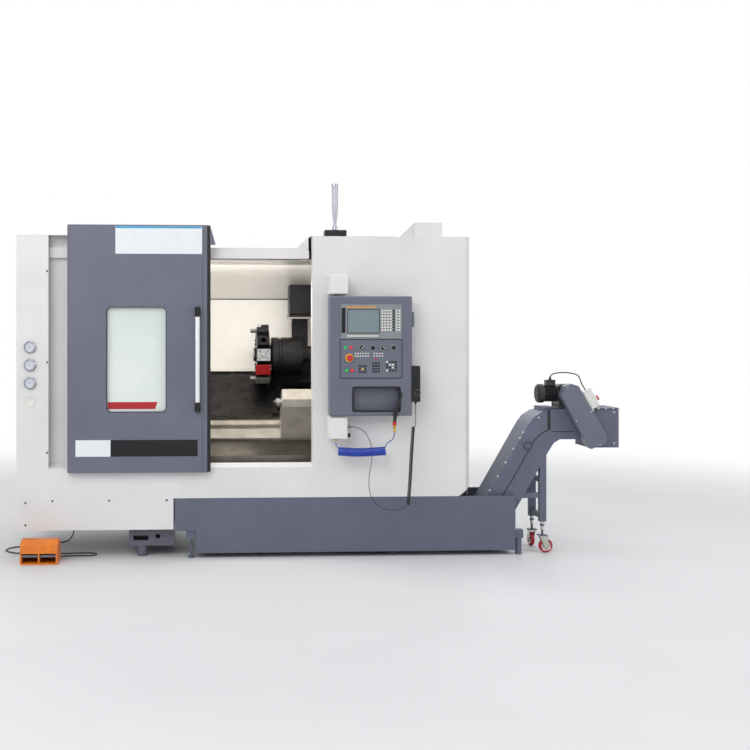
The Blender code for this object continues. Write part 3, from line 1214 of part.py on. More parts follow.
def make_air_gun():
    """The air gun held on the panel's face beside the pocket, nozzle down."""
    x = GUN_X
    face = PANEL_FRONT - GAP
    body = prism("air_gun", "Y", [
        (x - 0.016, GUN_BOTTOM), (x + 0.016, GUN_BOTTOM), (x + 0.020, GUN_BOTTOM + 0.080),
        (x + 0.034, GUN_BOTTOM + 0.170), (x + 0.060, GUN_BOTTOM + 0.215), (x + 0.052, GUN_BOTTOM + 0.235),
        (x + 0.014, GUN_BOTTOM + 0.190), (x - 0.008, GUN_BOTTOM + 0.090),
    ], (face - 0.028, face), "black_plastic", pivot_point())
    socket = rod("gun_socket", (x, face - 0.014, GUN_BOTTOM - 0.030), (x, face - 0.014, GUN_BOTTOM + 0.01), 0.009,
                 segments=12)
    return unite(body, socket)


def conveyor_under(x):
    """The height of the conveyor's sloping underside at a place along the machine."""
    start = CONVEYOR_FOOT_X + CONVEYOR_HEIGHT / math.sin(CONVEYOR_ANGLE)
    return SPLIT_HEIGHT + (x - start) * math.tan(CONVEYOR_ANGLE)


def conveyor_outline(inset, mouth):
    """The conveyor's side view: flat run in the tank, incline, bend and discharge head."""
    rise = math.tan(CONVEYOR_ANGLE)
    lean = inset / math.sin(CONVEYOR_ANGLE)
    base = TANK_BOTTOM + TANK_WALL + GAP + inset
    run_top = base + CONVEYOR_RUN_HEIGHT
    under = CONVEYOR_FOOT_X + CONVEYOR_HEIGHT / math.sin(CONVEYOR_ANGLE) - lean
    over = CONVEYOR_FOOT_X + lean
    neck = CONVEYOR_NECK_BOTTOM + inset
    top = HEAD_TOP - inset
    bend = top - 0.105
    drop_left = HEAD_RIGHT - HEAD_LENGTH - 0.040 + inset
    return [
        (CONVEYOR_TAIL + inset, base), (under + (base - SPLIT_HEIGHT) / rise, base),
        (under + (neck - 0.062 - SPLIT_HEIGHT) / rise, neck - 0.062),
        (under + (neck - 0.040 - SPLIT_HEIGHT) / rise + 0.014, neck - 0.023),
        (under + (neck - SPLIT_HEIGHT) / rise + 0.030, neck), (drop_left, neck),
        (drop_left, HEAD_BOTTOM + inset - mouth), (HEAD_RIGHT - inset, HEAD_BOTTOM + inset - mouth),
        (HEAD_RIGHT - inset, top), (over + (bend - SPLIT_HEIGHT) / rise + 0.200, top),
        (over + (bend - SPLIT_HEIGHT) / rise + 0.095, top - 0.020),
        (over + (bend - SPLIT_HEIGHT) / rise + 0.035, top - 0.058),
        (over + (bend - SPLIT_HEIGHT) / rise, bend),
        (over + (run_top - SPLIT_HEIGHT) / rise, run_top + mouth), (CONVEYOR_TAIL + inset, run_top + mouth),
    ]


def make_conveyor_casing():
    """The folded casing that lifts chips out of the tank, open along the run and under the head."""
    y = (CONVEYOR_FRONT, CONVEYOR_FRONT + CONVEYOR_WIDTH)
    casing = prism("conveyor_casing", "Y", conveyor_outline(0, 0), y, "grey_paint")
    wall = CONVEYOR_WALL
    hollow = prism("conveyor_hollow", "Y", conveyor_outline(wall, 2 * wall), (y[0] + wall, y[1] - wall))
    carve(casing, hollow)
    lid = prism("conveyor_lid", "Y", [
        (HEAD_RIGHT - HEAD_LENGTH, HEAD_TOP - 0.002), (HEAD_RIGHT + 0.004, HEAD_TOP - 0.002),
        (HEAD_RIGHT + 0.004, HEAD_TOP + 0.006), (HEAD_RIGHT - HEAD_LENGTH, HEAD_TOP + 0.006),
    ], (y[0] - 0.006, y[1] + 0.006))
    cover_x = CONVEYOR_FOOT_X + (HEAD_TOP - SPLIT_HEIGHT) / math.tan(CONVEYOR_ANGLE)
    lip = block("bend_cover", (cover_x + 0.055, cover_x + 0.140), (y[0] + 0.030, y[1] - 0.030),
                (HEAD_TOP - 0.030, HEAD_TOP + 0.010))
    return unite(casing, lid, lip)


def obround(start, end, radius, steps=8):
    """The outline round two circles of one radius."""
    along = Vector(end) - Vector(start)
    lean = math.atan2(along.y, along.x)
    outline = []
    for centre, turn in ((end, lean - math.pi / 2), (start, lean + math.pi / 2)):
        for k in range(steps + 1):
            a = turn + math.pi * k / steps
            outline.append((centre[0] + radius * math.cos(a), centre[1] + radius * math.sin(a)))
    return outline


def guard_centres():
    """The motor shaft and the head shaft that the chain guard covers, in the side view."""
    head = Vector((HEAD_RIGHT - 0.182, HEAD_BOTTOM + 0.069))
    lean = Vector((-math.cos(CONVEYOR_ANGLE), math.sin(CONVEYOR_ANGLE)))
    return head + lean * GUARD_LENGTH, head


def make_chain_guard():
    """The slanted guard over the drive chain, on the conveyor's front side."""
    motor, head = guard_centres()
    face = CONVEYOR_FRONT - 0.006 - GAP
    return prism("conveyor_chain_guard", "Y", obround(motor, head, GUARD_RADIUS),
                 (face - GUARD_THICKNESS, face), "grey_paint", smooth=True)


def make_gearmotor():
    """The worm gearmotor on the conveyor's head, its motor lying to the left."""
    motor, _ = guard_centres()
    y = CONVEYOR_FRONT + 0.075
    floor = HEAD_TOP + GAP
    gearbox = block("conveyor_gearmotor", (motor.x - 0.062, motor.x + 0.062), (CONVEYOR_FRONT, y + 0.075),
                    (floor, motor.y + 0.062), "black_paint", round_edges=0.008)
    body = turned("motor_body", (motor.x, y, motor.y), (-1, 0, 0), [
        (0.030, 0), (0.030, 0.056), (0.148, 0.056), (0.148, 0.064), (0.184, 0.064), (0.190, 0.056), (0.190, 0),
    ])
    stub = rod("output_shaft", (motor.x, CONVEYOR_FRONT + 0.01, motor.y), (motor.x, CONVEYOR_FRONT - 0.006, motor.y),
               0.014, segments=16)
    terminal = block("terminal_box", (motor.x - 0.126, motor.x - 0.068), (y - 0.034, y + 0.034),
                     (motor.y + 0.050, motor.y + 0.092))
    return unite(gearbox, body, stub, terminal)


def make_switch_box():
    """The white stop-switch box on the guard's upper edge."""
    motor, head = guard_centres()
    down = (head - motor).normalized()
    out = Vector((-down.y, down.x))
    start = motor + down * 0.030 + out * (GUARD_RADIUS + GAP)
    low, high = 0.008, 0.062
    corners = [start + out * low, start + down * 0.130 + out * low, start + down * 0.130 + out * high,
               start + out * high]
    face = CONVEYOR_FRONT - 0.006 - GAP
    span = (face - 0.062, face - 0.010)
    box = prism("conveyor_switch_box", "Y", [tuple(c) for c in corners], span, "pale_plastic")
    strip = [start - down * 0.010, start + down * 0.145, start + down * 0.145 + out * (low + 0.001),
             start - down * 0.010 + out * (low + 0.001)]
    strip_plate = prism("switch_strip", "Y", [tuple(c) for c in strip], (span[0] + 0.004, span[1] - 0.004))
    middle = start + down * 0.085 + out * (high - 0.002)
    button = rod("switch_button", (middle.x, (span[0] + span[1]) / 2, middle.y),
                 (middle.x + out.x * 0.016, (span[0] + span[1]) / 2, middle.y + out.y * 0.016), 0.014, segments=16)
    return unite(box, strip_plate, button)


def leg_places():
    """The middles of the conveyor's two legs, front then back."""
    inset = LEG_WIDTH / 2
    return CONVEYOR_FRONT + inset, CONVEYOR_FRONT + CONVEYOR_WIDTH - inset


def make_conveyor_stand():
    """Two legs under the incline with their cross bars, jacking stems and caster plates."""
    half = LEG_WIDTH / 2
    x = (LEG_X - half, LEG_X + half)
    legs = []
    near, far = leg_places()
    for y in (near, far):
        tops = [conveyor_under(v) - 2 * GAP for v in x]
        legs.append(prism("conveyor_leg", "Y", [
            (x[0], LEG_BOTTOM), (x[1], LEG_BOTTOM), (x[1], tops[1]), (x[0], tops[0]),
        ], (y - half, y + half)))
        bar_z = (LEG_BOTTOM + 0.159, LEG_BOTTOM + 0.192)
        reach = [CONVEYOR_FOOT_X + CONVEYOR_HEIGHT / math.sin(CONVEYOR_ANGLE) + 2 * GAP
                 + (z - SPLIT_HEIGHT) / math.tan(CONVEYOR_ANGLE) for z in bar_z]
        legs.append(prism("leg_tie", "Y", [
            (reach[0], bar_z[0]), (x[0] + 0.004, bar_z[0]), (x[0] + 0.004, bar_z[1]), (reach[1], bar_z[1]),
        ], (y - half + 0.004, y + half - 0.004)))
        legs.append(rod("jack_stem", (LEG_X, y, PLATE_HEIGHT), (LEG_X, y, LEG_BOTTOM + 0.01), 0.008, segments=12))
        legs.append(rod("jack_nut", (LEG_X, y, LEG_BOTTOM - 0.030), (LEG_X, y, LEG_BOTTOM - 0.018), 0.016, segments=6))
        legs.append(block("caster_plate", (LEG_X - 0.030, LEG_X + 0.030), (y - 0.030, y + 0.030),
                          (PLATE_HEIGHT - 0.002, PLATE_HEIGHT + 0.004)))
    bars = [
        block("cross_bar", (LEG_X - half + 0.006, LEG_X + half - 0.006), (near, far), (z, z + 0.030))
        for z in (LEG_BOTTOM + 0.020, LEG_BOTTOM + 0.260)
    ]
    first = legs[0]
    first.name = "conveyor_stand"
    first.data.materials.append(material("grey_paint"))
    return unite(first, *legs[1:], *bars)


def make_casters():
    """Two swivel casters, the far one turned a quarter away from the near one."""
    made = []
    for k, (y, quarter) in enumerate(zip(leg_places(), (0, 90))):
        pivot = Vector((LEG_X, y, 0))
        turn = Matrix.Translation(pivot) @ Matrix.Rotation(math.radians(quarter), 4, "Z")
        top = PLATE_HEIGHT - 0.002 - GAP
        cheek = WHEEL_WIDTH / 2 + 0.003
        crown = block(f"caster_fork_{k + 1}", (-0.024, 0.030 + CASTER_TRAIL / 2), (-cheek - 0.003, cheek + 0.003),
                      (top - 0.004, top), "bright_steel")
        cheeks = []
        for side in (-1, 1):
            span = sorted((side * cheek, side * (cheek + 0.003)))
            cheeks.append(prism("fork_cheek", "Y", [
                (-0.020, top - 0.002), (0.036, top - 0.002), (CASTER_TRAIL + 0.011, WHEEL_RADIUS - 0.010),
                (CASTER_TRAIL - 0.011, WHEEL_RADIUS - 0.010),
            ], span))
        axle = rod("axle", (CASTER_TRAIL, -cheek - 0.005, WHEEL_RADIUS), (CASTER_TRAIL, cheek + 0.005, WHEEL_RADIUS),
                   AXLE_RADIUS, segments=16, origin=(0, 0, 0))
        for piece in (crown, *cheeks, axle):
            piece.matrix_local = turn
        unite(crown, *cheeks, axle)
        bore = running_bore(AXLE_RADIUS, 16)
        edge = WHEEL_WIDTH / 2
        wheel = turned(f"caster_wheel_{k + 1}", (CASTER_TRAIL, -edge, WHEEL_RADIUS), (0, 1, 0), [
            (0, bore), (0, WHEEL_RADIUS - 0.004), (0.004, WHEEL_RADIUS), (WHEEL_WIDTH - 0.004, WHEEL_RADIUS),
            (WHEEL_WIDTH, WHEEL_RADIUS - 0.004), (WHEEL_WIDTH, bore),
        ], "red_wheel", origin=(0, 0, 0), segments=24)
        hub = Vector((CASTER_TRAIL, 0, WHEEL_RADIUS))
        wheel.data.transform(Matrix.Translation(-hub))
        wheel.matrix_local = turn @ Matrix.Translation(hub)
        made.append((crown, wheel))
    return made


def make_foot_pedal():
    """The orange hooded double pedal: a housing with two foot spaces and a hinged tread in each."""
    back = PEDAL_FRONT + PEDAL_DEPTH
    x = (PEDAL_LEFT, PEDAL_LEFT + PEDAL_WIDTH)
    top = PEDAL_HEIGHT
    shell = prism("pedal_housing", "X", [
        (PEDAL_FRONT, 0), (back, 0), (back, top * 0.54), (back - 0.050, top), (PEDAL_FRONT + 0.050, top),
        (PEDAL_FRONT, top * 0.78),
    ], x, "orange_paint")
    wall = PEDAL_WALL
    middle = (x[0] + x[1]) / 2
    spaces = [(x[0] + wall, middle - wall / 2), (middle + wall / 2, x[1] - wall)]
    cavities = [
        prism("foot_space", "X", [
            (PEDAL_FRONT - 0.01, wall), (back - wall, wall), (back - wall, top * 0.54 - wall * 0.6),
            (back - 0.050 - wall * 0.5, top - wall), (PEDAL_FRONT + 0.050, top - wall),
            (PEDAL_FRONT - 0.01, top * 0.78 - wall * 1.5),
        ], span)
        for span in spaces
    ]
    carve(shell, *cavities)
    treads = []
    hinge = Vector((0, back - wall - 0.014, TREAD_HEIGHT))
    for name, span in zip(("pedal_tread_left", "pedal_tread_right"), spaces):
        inner = (span[0] + GAP, span[1] - GAP)
        tread = prism(name, "X", [
            (hinge.y - 0.002, hinge.z - 0.005), (hinge.y - 0.002, hinge.z + 0.005),
            (PEDAL_FRONT + 0.012, hinge.z + 0.022), (PEDAL_FRONT + 0.012, hinge.z + 0.010),
        ], inner, "cast_paint", (inner[0], hinge.y, hinge.z))
        pin = rod("tread_pin", (inner[0], hinge.y, hinge.z), (inner[1], hinge.y, hinge.z), 0.008, segments=12)
        unite(tread, pin)
        treads.append(tread)
    return shell, treads


def smooth_route(points, spacing):
    """Points at an even spacing along a smooth curve through a cord's own points."""
    knots = [Vector(p) for p in points]
    ends = [knots[0] * 2 - knots[1], *knots, knots[-1] * 2 - knots[-2]]
    dense = []
    for k in range(1, len(ends) - 2):
        a, b, c, d = ends[k - 1:k + 3]
        for step in range(24):
            t = step / 24
            dense.append(0.5 * (2 * b + (c - a) * t + (2 * a - 5 * b + 4 * c - d) * t ** 2
                                + (3 * b - a - 3 * c + d) * t ** 3))
    dense.append(knots[-1])
    route, travelled = [dense[0]], 0.0
    for before, after in zip(dense, dense[1:]):
        travelled += (after - before).length
        if travelled >= spacing:
            route.append(after)
            travelled = 0.0
    if (dense[-1] - route[-1]).length < spacing * 0.5 and len(route) > 2:
        route.pop()
    return route + [dense[-1]]


def cord(name, stretches, finish, origin=(0, 0, 0)):
    """A cord as one tube; each stretch is (route points, radius) and a curly one is its outer tube."""
    route = []
    for points, radius, spacing in stretches:
        route += [(p, radius) for p in smooth_route(points, spacing)]
    widest = max(radius for _, radius in route)
    curve = bpy.data.curves.new(name, "CURVE")
    curve.dimensions = "3D"
    curve.bevel_depth = widest
    curve.bevel_resolution = 2
    curve.use_fill_caps = True
    line = curve.splines.new("POLY")
    line.points.add(len(route) - 1)
    origin = Vector(origin)
    for spot, (point, radius) in zip(line.points, route):
        spot.co = (*(point - origin), 1.0)
        spot.radius = radius / widest
    curve.materials.append(material(finish))
    body = bpy.data.objects.new(name, curve)
    body.location = origin
    body.parent = bpy.data.objects["machine_datum"]
    bpy.context.scene.collection.objects.link(body)
    return body


def make_pedal_cable():
    """The pedal's cable on the floor, looping left of the machine and up to the motor shelf."""
    rear = PEDAL_FRONT + PEDAL_DEPTH + GAP
    lie = PEDAL_CABLE_RADIUS + GAP
    shelf = BED_BOTTOM - GAP
    return cord("pedal_cable", [([
        (0.236, rear, 0.012), (0.236, rear + 0.018, 0.012), (0.238, rear + 0.036, 0.011), (0.262, 0.084, lie),
        (0.340, 0.098, lie), (0.450, 0.100, lie), (0.505, 0.140, lie), (0.440, 0.185, lie), (0.300, 0.180, lie),
        (0.120, 0.170, lie), (-0.040, 0.210, lie), (-0.120, 0.300, lie), (-0.090, 0.400, lie), (0.030, 0.470, lie),
        (0.180, 0.540, lie), (0.270, 0.640, lie + 0.010), (0.297, 0.720, 0.110), (0.300, 0.760, 0.260),
        (0.300, 0.765, shelf),
    ], PEDAL_CABLE_RADIUS, 0.026)], "black_rubber")


def make_air_hose():
    """The blue hose: down from the junction box, a long curl, then up to the gun."""
    spigot = PANEL_BOTTOM - 0.0105 - 0.160 - GAP
    socket = GUN_BOTTOM - 0.030 - GAP
    gun_y = PANEL_FRONT - GAP - 0.014
    coil_end = GUN_X - 0.052
    return cord("air_hose", [
        ([(HOSE_X, CORD_Y, spigot), (HOSE_X + 0.001, CORD_Y, spigot - 0.025),
          (HOSE_X + 0.012, CORD_Y, spigot - 0.052)], HOSE_RADIUS, 0.016),
        ([(HOSE_X + 0.024, CORD_Y, spigot - 0.066), (HOSE_X + 0.15, CORD_Y - 0.002, spigot - 0.074),
          (coil_end, CORD_Y - 0.006, spigot - 0.060)], HOSE_COIL_RADIUS, 0.040),
        ([(coil_end + 0.014, CORD_Y - 0.008, spigot - 0.055), (coil_end + 0.036, CORD_Y - 0.030, spigot - 0.022),
          (GUN_X - 0.002, gun_y, socket - 0.022), (GUN_X, gun_y, socket - 0.011), (GUN_X, gun_y, socket)],
         HOSE_RADIUS, 0.012),
    ], "blue_hose", pivot_point())


def make_hand_wheel_cord():
    """The hand wheel's cord: a hanging loop from the junction box, then a curl up to the box."""
    gland = PANEL_LEFT - 0.004 + ARM_BOX_WIDTH + 0.012 + GAP
    box_x = PANEL_LEFT + PANEL_WIDTH + GAP + 0.026
    box_z = PANEL_BOTTOM + 0.090 - GAP
    box_y = PANEL_FRONT + 0.018
    loop = [
        (0.164, CORD_Y, 0.866), (0.218, -0.100, 0.846), (0.259, -0.078, 0.800), (0.286, -0.066, 0.727),
        (0.288, -0.066, 0.649), (0.268, -0.078, 0.540), (0.270, -0.094, 0.439), (0.308, -0.104, 0.365),
        (0.389, CORD_Y, 0.325), (0.468, CORD_Y, 0.326), (0.508, CORD_Y, 0.342),
    ]
    curl = [
        (0.520, CORD_Y, 0.358), (0.530, CORD_Y, 0.500), (0.540, CORD_Y - 0.006, 0.700), (0.550, CORD_Y - 0.012, 0.866),
    ]
    loop, curl = ([(PANEL_LEFT + along, y, z) for along, y, z in stretch] for stretch in (loop, curl))
    return cord("hand_wheel_cord", [
        ([(gland, CORD_Y, CABLE_EXIT_Z), *loop], WHEEL_CORD_RADIUS, 0.019),
        (curl, CURL_RADIUS, 0.050),
        ([(PANEL_LEFT + 0.552, CORD_Y - 0.014, 0.882), (box_x - 0.002, box_y, 0.960), (box_x, box_y, box_z)],
         WHEEL_CORD_RADIUS, 0.014),
    ], "black_rubber", pivot_point())


def make_switch_box_cable():
    """The short lead that arcs from the gearmotor's terminal box to the stop switch."""
    motor, head = guard_centres()
    down = (head - motor).normalized()
    out = Vector((-down.y, down.x))
    low = motor + down * 0.030 + out * (GUARD_RADIUS + GAP + 0.035)
    face = CONVEYOR_FRONT - 0.036
    top = motor.y + 0.092 + GAP
    start = (motor.x - 0.095, CONVEYOR_FRONT + 0.075, top)
    end = low - down * GAP
    return cord("switch_box_cable", [([
        start, (start[0], start[1], top + 0.014), (start[0] + 0.020, start[1] - 0.006, top + 0.040),
        (motor.x - 0.010, 0.080, top + 0.050), (motor.x + 0.060, 0.030, top + 0.034),
        (end.x - down.x * 0.050, face, end.y - down.y * 0.050), (end.x - down.x * 0.014, face, end.y - down.y * 0.014),
        (end.x, face, end.y),
    ], 0.005, 0.012)], "black_rubber")


def hang_on_swing(pieces):
    """Give the swinging panel's pieces one parent on the panel's upright axis."""
    swing = bpy.data.objects.new("panel_swing", None)
    swing.location = pivot_point()
    swing.parent = bpy.data.objects["machine_datum"]
    bpy.context.scene.collection.objects.link(swing)
    for piece in pieces:
        piece.parent = swing
        piece.location = piece.location - pivot_point()


def main():
    """Model every sub-part."""
    clear_scene()
    make_datum()
    make_coolant_tank()
    make_bed_casting()
    make_front_cover()
    make_right_cover()
    make_lower_skirt()
    make_roof_cover()
    make_rear_cover()
    make_splash_guard()
    make_chip_chute()
    make_fixed_front_panel()
    make_headstock()
    make_spindle_motor()
    make_cabinet()
    make_door()
    make_spindle()
    make_chuck()
    make_carriage()
    make_way_covers()
    make_cross_slide()
    make_turret()
    make_tailstock()
    make_tower_lamp()
    make_pivot_arm()
    swinging = [make_panel_box(), make_cnc_unit(), make_junction_box(), make_hand_wheel(), make_air_gun()]
    swinging += [make_air_hose(), make_hand_wheel_cord()]
    hang_on_swing(swinging)
    make_controls()
    make_conveyor_casing()
    make_chain_guard()
    make_gearmotor()
    make_switch_box()
    make_switch_box_cable()
    make_conveyor_stand()
    make_casters()
    make_foot_pedal()
    make_pedal_cable()


main()
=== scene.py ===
"""Looks of a slant-bed turning lathe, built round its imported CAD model.

Places are metres from the enclosure's front left foot: X along the spindle, Y to the back, Z up.
"""

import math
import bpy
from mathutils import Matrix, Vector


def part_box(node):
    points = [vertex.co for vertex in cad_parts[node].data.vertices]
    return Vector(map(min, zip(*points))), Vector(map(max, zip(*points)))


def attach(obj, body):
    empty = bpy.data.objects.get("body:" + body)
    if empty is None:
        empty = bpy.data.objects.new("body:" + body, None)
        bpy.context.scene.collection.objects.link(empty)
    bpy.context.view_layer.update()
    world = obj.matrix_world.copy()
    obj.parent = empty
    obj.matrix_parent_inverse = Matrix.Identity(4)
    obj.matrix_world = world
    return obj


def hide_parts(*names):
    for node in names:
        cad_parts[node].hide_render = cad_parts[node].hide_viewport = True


bl_info = {
    "name": "Turning Lathe Looks",
    "version": (1, 0, 0),
    "blender": (4, 5, 0),
    "location": "View3D > Sidebar > Lathe",
    "description": "Finishes, fittings, cords and a studio stage for a slant-bed turning lathe",
    "category": "Object",
}

import bmesh
import bpy
import numpy as np
from mathutils import Matrix, Vector

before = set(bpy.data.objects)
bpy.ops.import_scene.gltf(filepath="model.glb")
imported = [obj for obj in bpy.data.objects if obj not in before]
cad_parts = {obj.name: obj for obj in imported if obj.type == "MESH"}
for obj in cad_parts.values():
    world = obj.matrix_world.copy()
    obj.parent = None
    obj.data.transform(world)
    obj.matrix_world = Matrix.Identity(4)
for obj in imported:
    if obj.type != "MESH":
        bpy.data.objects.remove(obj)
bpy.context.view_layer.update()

# The front left foot's place in the frame, the clearance of a seated piece, and a millimetre.
DATUM = np.array((-2.0085, -0.7405, 0.0))
GAP = 0.0003
MM = 0.001
FRONT, UP, DOWN, LEFT, RIGHT = (0, -1, 0), (0, 0, 1), (0, 0, -1), (-1, 0, 0), (1, 0, 0)
# The chuck's face on the spindle's axis; the camera's place along X and its lens shift.
SPINDLE = (1.1, 0.45, 1.0)
CAMERA_X = 1.206
CAMERA_SHIFT = (0.1565, -0.0493)


def linear(code, alpha=1.0):
    """Linear colour of an sRGB hex code."""
    s = np.array([int(code[i:i + 2], 16) / 255 for i in (0, 2, 4)])
    c = np.where(s <= 0.04045, s / 12.92, ((s + 0.055) / 1.055) ** 2.4)
    return (*c.tolist(), alpha)


def span(node):
    """A CAD node's lowest and highest corners, from the front left foot."""
    low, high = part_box(node)
    return np.array(low) - DATUM, np.array(high) - DATUM


# Materials


def add(tree, kind, settings, *links):
    """Add one node, set its properties and sockets, and link (source, socket) pairs into it."""
    node = tree.nodes.new(kind)
    for key, value in settings.items():
        if isinstance(key, str) and hasattr(node, key):
            setattr(node, key, value)
        else:
            node.inputs[key].default_value = value
    for source, socket in links:
        tree.links.new(source, node.inputs[socket])
    return node


def emptied(owner):
    """The node tree of a material or world, without the nodes that it starts with."""
    owner.use_nodes = True
    owner.node_tree.nodes.clear()
    return owner.node_tree


# Finishes whose first colour a user may change, with the name of that colour.
PAINTS = {
    "powder_coat_white": "sheet_white", "powder_coat_blue_grey": "sheet_grey",
    "pedal_enamel_orange": "pedal_orange", "polyurethane_hose_blue": "hose_blue",
}

